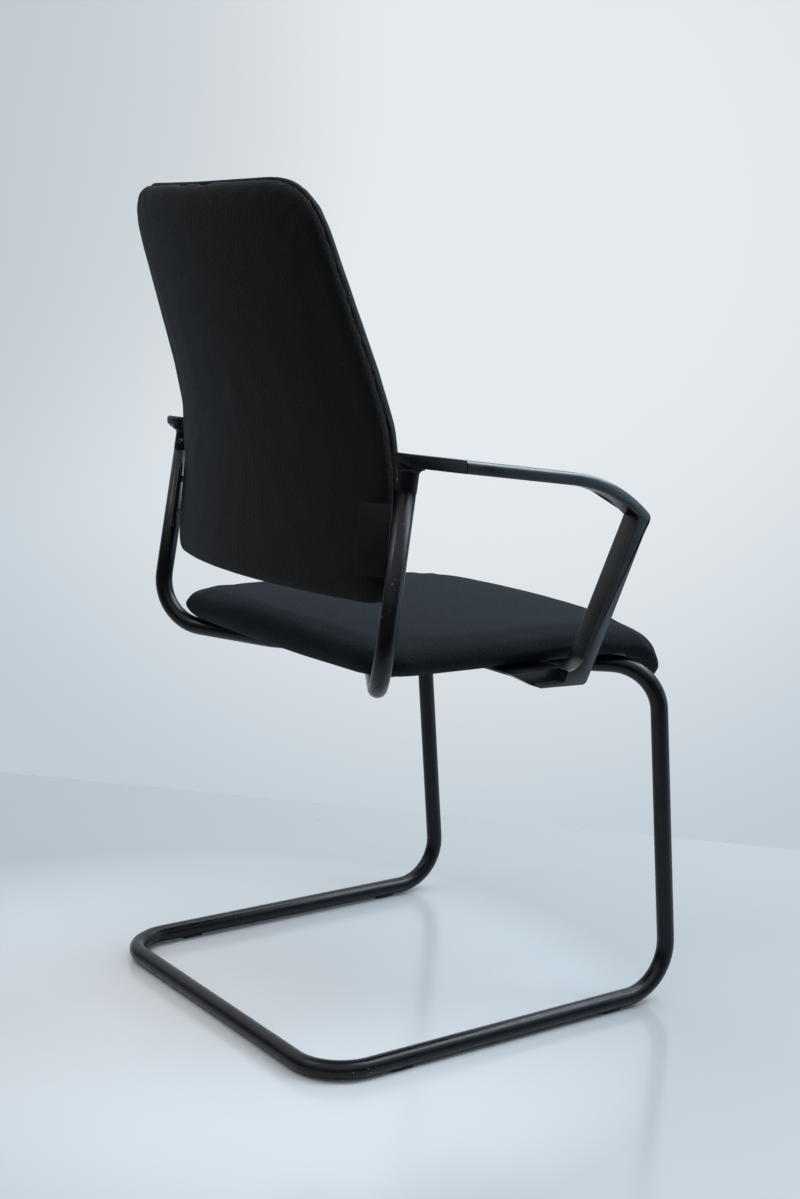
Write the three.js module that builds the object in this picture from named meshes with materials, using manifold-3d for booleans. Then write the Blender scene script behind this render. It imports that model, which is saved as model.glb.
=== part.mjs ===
// Sled base visitor chair with arms. Millimetres, +Z up, the sitter faces -Y, the sitter's right is -X.
// Rear crossbar centre is at y = 0 while the pieces are built; the last lines centre the chair over its own base.
import * as THREE from 'three';
import { mergeVertices } from 'three/addons/utils/BufferGeometryUtils.js';
import Module from 'manifold-3d';

const wasm = await Module();
wasm.setup();

// Gap kept between pieces that touch, how far a cut runs past the face that it opens, and the shortest edge kept
const fitGap = 0.3;
const cutOverrun = 1.5;
const leastStep = 0.01;

// Turn of one straight run round a corner, and the longest run along a pad's side
const cornerStep = THREE.MathUtils.degToRad(22.5);
const longestRun = 72;

// Widths, set out from the seat: the arms stand clear of it and the frame runs under the arms
const seatHalfWidth = 238;
const seatFrontTaper = 7;
const armSeatGap = 4;
const armWidth = 28;
const uprightInset = 8;
const uprightSplay = 5;
const baseInset = 3;
const legDraw = 1.5;
const backSideGap = 13;
const seatFrontHalfWidth = seatHalfWidth - seatFrontTaper;
const armInnerFace = seatHalfWidth + armSeatGap;
const uprightTopHalfWidth = armInnerFace + uprightInset;
const rearBendHalfWidth = uprightTopHalfWidth + uprightSplay;
const baseHalfWidth = uprightTopHalfWidth - baseInset;
const legHalfWidth = baseHalfWidth - legDraw;
const backHalfWidth = uprightTopHalfWidth - backSideGap;

// Steel tube
const tubeRadius = 11;
const tubeWall = 2;
const bendRadius = 60;
const tubeSides = 14;
const boreSides = 8;
const bendSteps = 6;

// Base frame, measured to tube centres
const glideLift = 1.2;
const baseDepth = 515;
const frontBendHeight = 429.8;
const frontBendSetBack = 42;

// Under-seat rails, drawn together between the rear and front bends
const railHalfGap = 96;
const railHeight = 427.8;
const railRearSetBack = 157;
const railFrontSetBack = 323;

// Uprights behind the sitter
const rearBendHeight = 439.3;
const rearBendSetBack = 55.5;
const uprightTopHeight = 659;
const uprightTopSetBack = 88.2;

// Joint in the middle of the rear crossbar
const jointGap = 0.3;
const jointPlugLength = 60;

// Floor glides
const glideLength = 30;
const glideWidth = 11;
const glideHug = 5;
const glideRearInset = 105;
const glideFrontInset = 95;
const glideCorner = 4;

// Seat, set out from the back edge of its underside
const seatRearSetBack = 52;
const seatRearHeight = 447.2;
const seatFall = 4.4;
const seatFlatLength = 382;
const seatRearBow = 12;
const seatRearCorner = 53;
const seatFrontCorner = 56;
const seatFrontBow = 10;
const seatBowRadius = 1400;
const lipRadius = 58;
const lipAngle = THREE.MathUtils.degToRad(83);
const cushionEdgeHeight = 37.5;
const cushionCrownShare = 0.2;
const cushionRoll = 19;
const cushionWaistHeight = 22;
const cushionTuck = 22;
const shellThickness = 9;
const shellInset = 25;

// Steel bars across the rails that carry the seat
const footTabReach = 56;
const bearerWidth = 30;
const bearerRearSetBack = 190;
const bearerFrontSetBack = 300;
const bearerCorner = 8;
const bearerTabGap = 36;
const seatScrewInset = 18;
const footTabInner = armInnerFace - footTabReach;
const bearerHalfLength = footTabInner - bearerTabGap;
const seatScrewHalfGap = bearerHalfLength - seatScrewInset;

// Backrest, a seamed pad on a moulded board
const backBottomHeight = 534.8;
const backTopHeight = 979.8;
const lumbarHeight = 700.4;
const lumbarRadius = 268;
const lowerLean = THREE.MathUtils.degToRad(-4);
const upperLean = THREE.MathUtils.degToRad(18);
const topCurlRun = 70;
const topCurlReach = 6;
const backPlanRadius = 600;
const backTopHalfWidth = 201;
const backTopCorner = 69;
const backBottomCorner = 27;
const backTopBow = 5;
const backBowRadius = 2400;
const panelThickness = 17;
const panelRoll = 15;
const boardThickness = 6;
const boardInset = 12;
const seamGroove = 0.8;
const backCushionThickness = 24;
const backCushionCrown = 5;
const backCushionRoll = 22;

// Steel ears that hold the back to the uprights
const earThickness = 4;
const earReach = 49;
const earRise = 32;
const earHeight = 78;
const earCorner = 6;
const earTurn = THREE.MathUtils.degToRad(28);
const studRadius = 4;
const studEdgeInset = 8;
const studEndInset = 18;
const studBoardShare = 0.3;
const earSeatGap = 2.9;
const searchSteps = 40;

// Arm loop, outline in the side plane
const armThickness = 14.5;
const armJointSetBack = 154;
const armBendSetBack = 315;
const armBendHeight = 672.6;
const armFall = THREE.MathUtils.degToRad(7.1);
const armBendRadius = 200;
const armFrontSetBack = 428;
const armLegThickness = 15;
const armEdgeRound = 2.6;
const armBendSteps = 8;
const footFrontSetBack = 337.5;
const footBottomHeight = 425.3;
const footRise = 2.6;
const footFlangeEnd = 271;
const footTopEnd = 236;
const footTopHeight = 445;
const footFillet = 9;
const footToe = 4;
const footWeb = 12;
const footFlange = 3.6;
const footTabThickness = 5;
const footTabFront = 322;
const footTabRear = 248;
const footTabCorner = 7;
const footScrewInset = 14;

// Arm connector, a block with a sleeve and a spigot for the upright
const sleeveRadius = 11.6;
const spigotLength = 42;
const blockRound = 12;
const blockRearRound = 11;
const blockFillet = 8;
const blockHalfWidth = 12;
const blockFlareSetBack = 128;
const tongueLength = 22;
const tongueThickness = 6.5;
const tongueWidth = 15;
const blockSides = 20;

// Screws
const screwRadius = 2.5;
const screwHeadRadius = 5.5;
const screwHeadHeight = 3;
const screwBite = 6;
const screwCrownShare = 0.6;
const screwEdgeShare = 0.45;
const screwSides = 12;

const finish = (color, roughness, metalness) => new THREE.MeshStandardMaterial({ color, roughness, metalness });
const tubeCoat = finish(0x15181d, 0.42, 0.35);
const plateCoat = finish(0x1b1a18, 0.55, 0.35);
const armPlastic = finish(0x14171a, 0.48, 0);
const glidePlastic = finish(0x101113, 0.5, 0);
const seatCloth = finish(0x232a30, 0.92, 0);
const backCloth = finish(0x171a1d, 0.92, 0);
const boardPaint = finish(0x121212, 0.7, 0);
const screwSteel = finish(0x2a2b2d, 0.4, 0.8);

const chair = new THREE.Group();

const at = (x, y, z) => new THREE.Vector3(x, y, z);

function addPiece(name, geometry, material) {
  const piece = new THREE.Mesh(geometry, material);
  piece.name = name;
  chair.add(piece);
}

// The same shape on the other side of the chair, with its faces still pointing out
function mirrored(geometry) {
  const copy = geometry.index ? geometry.toNonIndexed() : geometry.clone();
  const position = copy.attributes.position;
  const points = [];
  for (let corner = 0; corner < position.count; corner += 3) {
    for (const shift of [0, 2, 1]) {
      const index = corner + shift;
      points.push(-position.getX(index), position.getY(index), position.getZ(index));
    }
  }
  const result = new THREE.BufferGeometry();
  result.setAttribute('position', new THREE.Float32BufferAttribute(points, 3));
  return result;
}

function addPair(name, geometry, material) {
  addPiece(`${name}_right`, geometry, material);
  addPiece(`${name}_left`, mirrored(geometry), material);
}

function toSolid(geometry) {
  const bare = geometry.clone();
  bare.deleteAttribute('normal');
  bare.deleteAttribute('uv');
  const merged = mergeVertices(bare);
  return new wasm.Manifold(new wasm.Mesh({
    numProp: 3,
    vertProperties: new Float32Array(merged.attributes.position.array),
    triVerts: new Uint32Array(merged.index.array),
  }));
}

function toGeometry(solid) {
  const { vertProperties, triVerts } = solid.getMesh();
  const geometry = new THREE.BufferGeometry();
  geometry.setAttribute('position', new THREE.BufferAttribute(new Float32Array(vertProperties), 3));
  geometry.setIndex(new THREE.BufferAttribute(new Uint32Array(triVerts), 1));
  return geometry;
}

const joined = (...geometries) => toGeometry(geometries.map(toSolid).reduce((sum, next) => sum.add(next)));
const cut = (body, ...tools) => toGeometry(tools.map(toSolid).reduce((rest, tool) => rest.subtract(tool), toSolid(body)));
const shared = (first, second) => toGeometry(toSolid(first).intersect(toSolid(second)));

// A route through corner points with round bends; straight runs have a station at each end only
class BentRoute extends THREE.Curve {
  constructor(corners, radius, steps) {
    super();
    this.stations = [];
    const firstWay = corners[1].clone().sub(corners[0]).normalize();
    this.stations.push({ point: corners[0], way: firstWay });
    for (let i = 1; i < corners.length - 1; i++) this.addBend(corners[i - 1], corners[i], corners[i + 1], radius, steps);
    const last = corners.length - 1;
    this.stations.push({ point: corners[last], way: corners[last].clone().sub(corners[last - 1]).normalize() });
  }

  addBend(before, corner, after, radius, steps) {
    const wayIn = corner.clone().sub(before).normalize();
    const wayOut = after.clone().sub(corner).normalize();
    const turn = wayIn.angleTo(wayOut);
    const start = corner.clone().addScaledVector(wayIn, -radius * Math.tan(turn / 2));
    const axis = wayIn.clone().cross(wayOut).normalize();
    const centre = start.clone().addScaledVector(axis.clone().cross(wayIn), radius);
    for (let step = 0; step <= steps; step++) {
      const angle = (turn * step) / steps;
      const point = start.clone().sub(centre).applyAxisAngle(axis, angle).add(centre);
      this.stations.push({ point, way: wayIn.clone().applyAxisAngle(axis, angle) });
    }
  }

  stationAt(share) {
    return this.stations[Math.round(share * (this.stations.length - 1))];
  }

  getPointAt(share, target = new THREE.Vector3()) {
    return target.copy(this.stationAt(share).point);
  }

  getTangentAt(share, target = new THREE.Vector3()) {
    return target.copy(this.stationAt(share).way);
  }
}

function circleShape(radius, sides) {
  const ring = [];
  for (let side = 0; side < sides; side++) {
    const angle = (2 * Math.PI * side) / sides;
    ring.push(new THREE.Vector2(radius * Math.cos(angle), radius * Math.sin(angle)));
  }
  return new THREE.Shape(ring);
}

function ringShape(outer, outerSides, inner, innerSides) {
  const shape = circleShape(outer, outerSides);
  shape.holes.push(new THREE.Path(circleShape(inner, innerSides).getPoints()));
  return shape;
}

// A rod from one point to another; a bore makes it a pipe
function rod(from, to, radius, sides, bore = 0) {
  const shape = bore ? ringShape(radius, sides, bore, sides) : circleShape(radius, sides);
  const length = from.distanceTo(to);
  const geometry = new THREE.ExtrudeGeometry(shape, { depth: length, bevelEnabled: false });
  const turn = new THREE.Quaternion().setFromUnitVectors(at(0, 0, 1), to.clone().sub(from).normalize());
  return geometry.applyQuaternion(turn).translate(from.x, from.y, from.z);
}

// A polygon whose corners are rounded by arcs, each [across, along, radius], as a closed shape
function roundedShape(corners) {
  const points = [];
  corners.forEach(([across, along, radius], i) => {
    const corner = new THREE.Vector2(across, along);
    const wayBack = new THREE.Vector2(...corners.at(i - 1).slice(0, 2)).sub(corner).normalize();
    const wayOn = new THREE.Vector2(...corners[(i + 1) % corners.length].slice(0, 2)).sub(corner).normalize();
    const halfAngle = Math.acos(THREE.MathUtils.clamp(wayBack.dot(wayOn), -1, 1)) / 2;
    const centre = wayBack.clone().add(wayOn).normalize().multiplyScalar(radius / Math.sin(halfAngle)).add(corner);
    const start = corner.clone().addScaledVector(wayBack, radius / Math.tan(halfAngle));
    const turn = (Math.PI - 2 * halfAngle) * -Math.sign(wayBack.cross(wayOn));
    const steps = radius > 0 ? Math.max(1, Math.ceil(Math.abs(turn) / cornerStep)) : 0;
    for (let step = 0; step <= steps; step++) {
      points.push(start.clone().rotateAround(centre, steps ? (turn * step) / steps : 0));
    }
  });
  return new THREE.Shape(points);
}

// Points along an arc in a flat shape
function bowPoints(centre, radius, from, to, steps) {
  return new THREE.EllipseCurve(centre.x, centre.y, radius, radius, from, to, from > to).getPoints(steps);
}

// The shape without the repeated points that arcs leave where they meet
function plainShape(shape) {
  const points = shape.getPoints();
  return new THREE.Shape(points.filter((point, i) => point.distanceTo(points.at(i - 1)) > leastStep));
}

// A flat shape in the side plane, [forward of the crossbar, height], thickened from the inner face outwards
function sidePlate(shape, innerFace, width, round = 0) {
  const geometry = new THREE.ExtrudeGeometry(plainShape(shape), {
    depth: width - 2 * round,
    bevelEnabled: round > 0,
    bevelThickness: round,
    bevelSize: round,
    bevelOffset: -round,
    bevelSegments: 2,
  });
  // Shape x runs forward (-Y) and shape y runs up, so the thickness runs to -X
  const basis = new THREE.Matrix4().makeBasis(at(0, -1, 0), at(0, 0, 1), at(-1, 0, 0));
  return geometry.applyMatrix4(basis).translate(-innerFace - round, 0, 0);
}

// A flat shape seen from above, [x, y], raised from one height to another
function floorPlate(shape, bottom, top) {
  const settings = { depth: top - bottom, bevelEnabled: false };
  return new THREE.ExtrudeGeometry(plainShape(shape), settings).translate(0, 0, bottom);
}

function boxShape(left, right, rear, front, corner) {
  return roundedShape([[left, front, corner], [right, front, corner], [right, rear, corner], [left, rear, corner]]);
}

// A screw from its head's top down its way, with a round head
function screw(headTop, way, headRadius, headHeight, radius, bite) {
  const profile = [
    [0, 0], [screwCrownShare * headRadius, 0], [headRadius, screwEdgeShare * headHeight], [headRadius, headHeight],
    [radius, headHeight], [radius, headHeight + bite], [0, headHeight + bite],
  ].map(([across, along]) => new THREE.Vector2(across, -along));
  const geometry = new THREE.LatheGeometry(profile.reverse(), screwSides);
  const turn = new THREE.Quaternion().setFromUnitVectors(at(0, -1, 0), way);
  return geometry.applyQuaternion(turn).translate(headTop.x, headTop.y, headTop.z);
}

// A closed pad from rings of one outline, each ring a share of it drawn in by an inset and raised to a level
function ringPad(outline, rings, place) {
  const box = new THREE.Box2().setFromPoints(outline);
  const middle = box.getCenter(new THREE.Vector2());
  const half = box.getSize(new THREE.Vector2()).multiplyScalar(0.5);
  const count = outline.length;
  const reach = ({ share, inset }) => share * (1 - inset / half.x);
  const points = [];
  for (const { share, inset, level } of rings) {
    for (const edge of outline) {
      const across = middle.x + (edge.x - middle.x) * share * (1 - inset / half.x);
      const along = middle.y + (edge.y - middle.y) * share * (1 - inset / half.y);
      points.push(place(across, along, level));
    }
  }
  const bottom = points.push(place(middle.x, middle.y, rings[0].level)) - 1;
  const top = points.push(place(middle.x, middle.y, rings.at(-1).level)) - 1;
  const triangles = [];
  for (let k = 0; k < count; k++) {
    const next = (k + 1) % count;
    triangles.push(bottom, k, next);
    for (let ring = 0; ring < rings.length - 1; ring++) {
      const low = ring * count;
      const high = low + count;
      // Every face is split along the same diagonals, so that faces that lie together stay parallel
      if (reach(rings[ring + 1]) < reach(rings[ring])) {
        triangles.push(low + k, high + k, high + next, low + k, high + next, low + next);
      } else {
        triangles.push(low + k, high + k, low + next, low + next, high + k, high + next);
      }
    }
    const rim = (rings.length - 1) * count;
    triangles.push(top, rim + next, rim + k);
  }
  const geometry = new THREE.BufferGeometry().setFromPoints(points);
  geometry.setIndex(triangles);
  return geometry;
}

// Outline points with short runs round the corners and longer ones along the sides
function outlinePoints(corners) {
  const ring = plainShape(roundedShape(corners)).getPoints();
  return ring.flatMap((point, i) => {
    const next = ring[(i + 1) % ring.length];
    const runs = Math.ceil(point.distanceTo(next) / longestRun);
    return Array.from({ length: runs }, (_, run) => point.clone().lerp(next, run / runs));
  });
}

// Right-hand run of the frame, from the top of the upright to the middle of the rear crossbar
const floorTubeHeight = glideLift + tubeRadius;
const lifted = (height) => height + glideLift;
const uprightTop = at(-uprightTopHalfWidth, -uprightTopSetBack, lifted(uprightTopHeight));
const rearBend = at(-rearBendHalfWidth, -rearBendSetBack, lifted(rearBendHeight));
const uprightWay = uprightTop.clone().sub(rearBend).normalize();
const frontBend = at(-legHalfWidth, -(baseDepth - frontBendSetBack), lifted(frontBendHeight));

// The point on the upright's axis at a height above the floor tube's underside
function uprightAt(height) {
  const rise = lifted(height) - rearBend.z;
  return rearBend.clone().addScaledVector(uprightWay, rise / uprightWay.z);
}

function frameTube() {
  const route = new BentRoute([
    uprightTop,
    rearBend,
    at(-railHalfGap, -railRearSetBack, lifted(railHeight)),
    at(-railHalfGap, -railFrontSetBack, lifted(railHeight)),
    frontBend,
    at(-baseHalfWidth, -baseDepth, floorTubeHeight),
    at(-baseHalfWidth, 0, floorTubeHeight),
    at(-jointGap / 2, 0, floorTubeHeight),
  ], bendRadius, bendSteps);
  const section = ringShape(tubeRadius, tubeSides, tubeRadius - tubeWall, boreSides);
  return new THREE.ExtrudeGeometry(section, { steps: route.stations.length - 1, extrudePath: route });
}

// A plug that lines up the two halves inside the crossbar
function jointPlug() {
  const boreClear = (tubeRadius - tubeWall) * Math.cos(Math.PI / boreSides) - fitGap;
  const end = at(jointPlugLength / 2, 0, floorTubeHeight);
  return rod(end.clone().setX(-end.x), end, boreClear, screwSides, boreClear - tubeWall);
}

// A glide: a shoe that hugs the underside of a floor tube
function glide(setBack) {
  const shoe = boxShape(-glideWidth / 2, glideWidth / 2, -glideLength / 2, glideLength / 2, glideCorner);
  const block = floorPlate(shoe, 0, glideLift + glideHug);
  const groove = rod(
    at(0, -glideLength, floorTubeHeight), at(0, glideLength, floorTubeHeight), tubeRadius + fitGap, 2 * tubeSides);
  return cut(block, groove).translate(-baseHalfWidth, -setBack, 0);
}

// Seat surface: across the chair, along from the rear edge, and up from the shell's underside
function seatPoint(across, along, level) {
  const flat = Math.min(along, seatFlatLength);
  const angle = Math.max(along - seatFlatLength, 0) / lipRadius;
  const forward = flat + (lipRadius + level) * Math.sin(angle);
  const drop = (seatFall * flat) / seatFlatLength + lipRadius * (1 - Math.cos(angle));
  return at(across, -seatRearSetBack - forward, lifted(seatRearHeight) - drop + level * Math.cos(angle));
}

// The same, thickened towards the middle of the chair as the cushion is
function cushionPoint(across, along, level) {
  return seatPoint(across, along, level * (1 + cushionCrownShare * (1 - (across / seatHalfWidth) ** 2)));
}

const seatLength = seatFlatLength + lipRadius * lipAngle;
const seatOutline = outlinePoints([
  [0, 0, seatBowRadius],
  [seatHalfWidth, seatRearBow, seatRearCorner],
  [seatHalfWidth, seatFlatLength / 2, seatBowRadius],
  [seatFrontHalfWidth, seatLength - seatFrontBow, seatFrontCorner],
  [0, seatLength, seatBowRadius],
  [-seatFrontHalfWidth, seatLength - seatFrontBow, seatFrontCorner],
  [-seatHalfWidth, seatFlatLength / 2, seatBowRadius],
  [-seatHalfWidth, seatRearBow, seatRearCorner],
]);

// Shares of each pad's outline where its faces have a ring, from the middle out
const seatShares = [0.36, 0.64, 0.76, 0.87, 0.95];
const shellShares = [0.62, 0.8, 0.92];
const backShares = [0.25, 0.5, 0.75, 0.92];

// Rings up the seat cushion's side, as shares of its tuck and of its waist's height
const sideShares = [[0.45, 0.18], [0.16, 0.55], [0, 1]];
const rollSteps = 3;

// Rings of a rounded edge, from its side up to its face
function rollRings(radius, top) {
  const rings = [];
  for (let step = 0; step <= rollSteps; step++) {
    const angle = (Math.PI / 2) * (step / rollSteps);
    rings.push({ share: 1, inset: radius * (1 - Math.cos(angle)), level: top - radius * (1 - Math.sin(angle)) });
  }
  return rings;
}

// Rings of a crowned face, from its edge in to its middle
function faceRings(shares, inset, level, crown) {
  return shares.map((share) => ({ share, inset, level: level + crown * (1 - share ** 3) })).reverse();
}

// Rings of a flat face, from its middle out to its edge
function floorRings(shares, inset, level) {
  return [...shares, 1].map((share) => ({ share, inset, level }));
}

// A thin board that follows a pad's surface, for shells and for the recesses that take them
function board(outline, shares, inset, bottom, top, place) {
  const rings = [...floorRings(shares, inset, bottom), ...floorRings(shares, inset, top).reverse()];
  return ringPad(outline, rings, place);
}

function seatShell() {
  return board(seatOutline, shellShares, shellInset, 0, shellThickness, seatPoint);
}

function seatCushion() {
  const side = sideShares.map(([inward, up]) => (
    { share: 1, inset: inward * cushionTuck, level: up * cushionWaistHeight }));
  const roll = rollRings(cushionRoll, cushionEdgeHeight);
  const face = faceRings(seatShares, cushionRoll, cushionEdgeHeight, 0);
  const rings = [...floorRings(shellShares, cushionTuck, 0), ...side, ...roll, ...face];
  const pad = ringPad(seatOutline, rings, cushionPoint);
  const recess = board(seatOutline, shellShares, shellInset - fitGap, -cutOverrun, shellThickness + fitGap, seatPoint);
  return cut(pad, recess);
}

// Level of the shell's underside over a bearer, at the bearer's lowest edge
function seatUnderside(setBack) {
  return seatPoint(0, setBack + bearerWidth / 2 - seatRearSetBack, 0).z;
}

const railTop = lifted(railHeight) + tubeRadius;

function bearer(setBack) {
  const plan = boxShape(
    -bearerHalfLength, bearerHalfLength, -setBack - bearerWidth / 2, -setBack + bearerWidth / 2, bearerCorner);
  const bar = floorPlate(plan, railTop + fitGap, seatUnderside(setBack) - fitGap);
  const holes = [-1, 1].map((side) => {
    const centre = at(side * seatScrewHalfGap, -setBack, railTop - cutOverrun);
    return rod(centre, centre.clone().setZ(seatUnderside(setBack) + cutOverrun), screwRadius + fitGap, screwSides);
  });
  return cut(bar, ...holes);
}

// Screws that run up into the seat shell, and the holes that they need there
const seatScrewSpots = [];
for (const [place, setBack] of [['rear', bearerRearSetBack], ['front', bearerFrontSetBack]]) {
  seatScrewSpots.push({ name: `seat_screw_${place}`, x: -seatScrewHalfGap, setBack, under: railTop + fitGap });
}
const footTabTop = seatPoint(0, footTabFront - seatRearSetBack, 0).z - fitGap;
const footTabBottom = footTabTop - footTabThickness;
for (const [place, setBack] of [['rear', footTabRear + footScrewInset], ['front', footTabFront - footScrewInset]]) {
  seatScrewSpots.push({
    name: `arm_foot_screw_${place}`, x: -(footTabInner + footScrewInset), setBack, under: footTabBottom });
}

function seatScrew({ x, setBack, under }) {
  const headTop = at(x, -setBack, under - fitGap - screwHeadHeight);
  const tip = seatPoint(x, setBack - seatRearSetBack, 0).z + screwBite;
  return screw(headTop, at(0, 0, 1), screwHeadRadius, screwHeadHeight, screwRadius, tip - headTop.z - screwHeadHeight);
}

function screwHole({ x, setBack, under }) {
  const deepest = seatPoint(x, setBack - seatRearSetBack, 0).z + screwBite + fitGap;
  return rod(at(x, -setBack, under - cutOverrun), at(x, -setBack, deepest), screwRadius + fitGap, screwSides);
}

// Backrest surface: across the chair, up along its curved spine, and rearward from the rear face
const lumbarTurn = upperLean - lowerLean;
const lumbarTangent = lumbarRadius * Math.tan(lumbarTurn / 2);
const lowerRun = (lumbarHeight - backBottomHeight) / Math.cos(lowerLean);
const upperRun = (backTopHeight - lumbarHeight) / Math.cos(upperLean);
const spineBend = lowerRun - lumbarTangent;
const backLength = lowerRun + upperRun - 2 * lumbarTangent + lumbarRadius * lumbarTurn;

function spineAt(along) {
  const turned = THREE.MathUtils.clamp((along - spineBend) / lumbarRadius, 0, lumbarTurn);
  const lean = lowerLean + turned;
  const before = Math.min(along, spineBend) - spineBend;
  const after = Math.max(along - spineBend - lumbarRadius * lumbarTurn, 0);
  const bendHeight = lifted(lumbarHeight) - lumbarTangent * Math.cos(lowerLean);
  const arcAcross = lumbarRadius * (Math.cos(lowerLean) - Math.cos(lean));
  const arcUp = lumbarRadius * (Math.sin(lean) - Math.sin(lowerLean));
  const curl = topCurlReach * (Math.max(along - backLength + topCurlRun, 0) / topCurlRun) ** 2;
  return {
    y: (before - lumbarTangent) * Math.sin(lowerLean) + arcAcross + after * Math.sin(lean) - curl,
    z: bendHeight + before * Math.cos(lowerLean) + arcUp + after * Math.cos(lean),
    lean,
  };
}

function backPoint(across, along, level) {
  const { y, z, lean } = spineAt(along);
  const angle = across / backPlanRadius;
  const reach = (backPlanRadius + level) * Math.cos(angle) - backPlanRadius;
  const rearward = y - lumbarSetBack + reach * Math.cos(lean);
  return at((backPlanRadius + level) * Math.sin(angle), rearward, z - reach * Math.sin(lean));
}

// How far behind the rear face a point lies, front to back, while the spine's bend is at y = 0
function behindSpine(point) {
  const reach = backPlanRadius * (Math.cos(Math.asin(point.x / backPlanRadius)) - 1);
  let low = 0;
  let high = backLength;
  for (let step = 0; step < searchSteps; step++) {
    const middle = (low + high) / 2;
    const { z, lean } = spineAt(middle);
    if (z - reach * Math.sin(lean) < point.z) low = middle;
    else high = middle;
  }
  const { y, lean } = spineAt(low);
  return point.y - y - reach * Math.cos(lean);
}

const backOutline = outlinePoints([
  [-backHalfWidth, 0, backBottomCorner],
  [backHalfWidth, 0, backBottomCorner],
  [backHalfWidth, spineBend, backBowRadius / 2],
  [backTopHalfWidth, backLength - backTopBow, backTopCorner],
  [0, backLength, backBowRadius],
  [-backTopHalfWidth, backLength - backTopBow, backTopCorner],
  [-backHalfWidth, spineBend, backBowRadius / 2],
]);

const panelFront = -panelThickness;
const cushionFront = panelFront - seamGroove - backCushionThickness;

// A point off an ear's front face, at a reach from the upright's axis
const earBottomHeight = backBottomHeight + earRise;
const earTopHeight = earBottomHeight + earHeight;
const earWay = at(Math.cos(earTurn), Math.sin(earTurn), 0);
const earFacing = earWay.clone().cross(uprightWay).normalize();
function earPoint(height, reach, off) {
  return uprightAt(height).addScaledVector(earWay, reach).addScaledVector(earFacing, earThickness / 2 + off);
}

// The back is set out from its ears, which stop a named gap behind its rear face
const earEnds = [earBottomHeight, (earBottomHeight + earTopHeight) / 2, earTopHeight];
const lumbarSetBack = earSeatGap - Math.min(...earEnds.map((height) => behindSpine(earPoint(height, earReach, 0))));

// Studs that run from an ear's front face into the board
const studDepth = panelThickness + fitGap + boardThickness * studBoardShare;
const earStuds = [earBottomHeight + studEndInset, earTopHeight - studEndInset].map((height) => {
  const start = earPoint(height, earReach - studEdgeInset, fitGap);
  const behind = behindSpine(start) + lumbarSetBack;
  const nearer = behindSpine(start.clone().addScaledVector(earFacing, studRadius)) + lumbarSetBack;
  return { start, length: ((behind + studDepth) * studRadius) / (behind - nearer) };
});

function backPanel() {
  const front = [...floorRings(backShares, boardInset, panelFront), { share: 1, inset: 0, level: panelFront }];
  const rings = [...front, ...rollRings(panelRoll, 0), ...faceRings(backShares, panelRoll, 0, 0)];
  return ringPad(backOutline, rings, backPoint);
}

function backBoard() {
  const rear = panelFront - fitGap;
  return board(backOutline, backShares, boardInset, rear - boardThickness, rear, backPoint);
}

function backCushion() {
  const rear = panelFront - seamGroove;
  const rolled = [...rollRings(backCushionRoll, 0), ...faceRings(backShares, backCushionRoll, 0, backCushionCrown)];
  const front = rolled.map((ring) => ({ ...ring, level: cushionFront - ring.level })).reverse();
  const rings = [...front, { share: 1, inset: 0, level: rear }, ...floorRings(backShares, boardInset, rear).reverse()];
  const deepest = panelFront - 2 * fitGap - boardThickness;
  const recess = board(backOutline, backShares, boardInset - fitGap, deepest, panelFront + cutOverrun, backPoint);
  return cut(ringPad(backOutline, rings, backPoint), recess);
}

// Steel ear, a plate beside the upright turned in behind the back
function ear() {
  const top = (earTopHeight - earBottomHeight) / uprightWay.z;
  const inner = tubeRadius + fitGap;
  const shape = roundedShape([[inner, 0, 0], [earReach, 0, earCorner], [earReach, top, earCorner], [inner, top, 0]]);
  const settings = { depth: earThickness, bevelEnabled: false };
  const plate = new THREE.ExtrudeGeometry(plainShape(shape), settings).translate(0, 0, -earThickness / 2);
  const upWay = earFacing.clone().cross(earWay).normalize();
  const basis = new THREE.Matrix4().makeBasis(earWay, upWay, earFacing);
  const foot = uprightAt(earBottomHeight);
  return plate.applyMatrix4(basis).translate(foot.x, foot.y, foot.z);
}

const stud = ({ start, length }, radius, from, clearance) => rod(
  start.clone().addScaledVector(earFacing, from), start.clone().addScaledVector(earFacing, length + clearance),
  radius, screwSides);

// Arm outline corners, [forward, height]
const armBend = new THREE.Vector2(armBendSetBack, lifted(armBendHeight));
const armCentre = armBend.clone().add(
  new THREE.Vector2(-Math.sin(armFall), -Math.cos(armFall)).multiplyScalar(armBendRadius));
const armTopAt = (setBack) => armBend.y + (armBendSetBack - setBack) * Math.tan(armFall);
const armDrop = armThickness / Math.cos(armFall);
const onArc = (radius, forward) => (
  armCentre.y + Math.sqrt(radius ** 2 - (forward - armCentre.x) ** 2));
const armTip = new THREE.Vector2(armFrontSetBack, onArc(armBendRadius, armFrontSetBack));
const toe = new THREE.Vector2(footFrontSetBack, lifted(footBottomHeight));
const legWay = armTip.clone().sub(toe).normalize();
const legAcross = armLegThickness / legWay.y;

// Where the leg's rear face meets the arm's underside
function innerCorner() {
  const radius = armBendRadius - armThickness;
  const start = toe.clone().setX(toe.x - legAcross).sub(armCentre);
  const half = start.dot(legWay);
  const run = -half + Math.sqrt(half ** 2 - start.lengthSq() + radius ** 2);
  return start.addScaledVector(legWay, run).add(armCentre);
}

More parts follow.
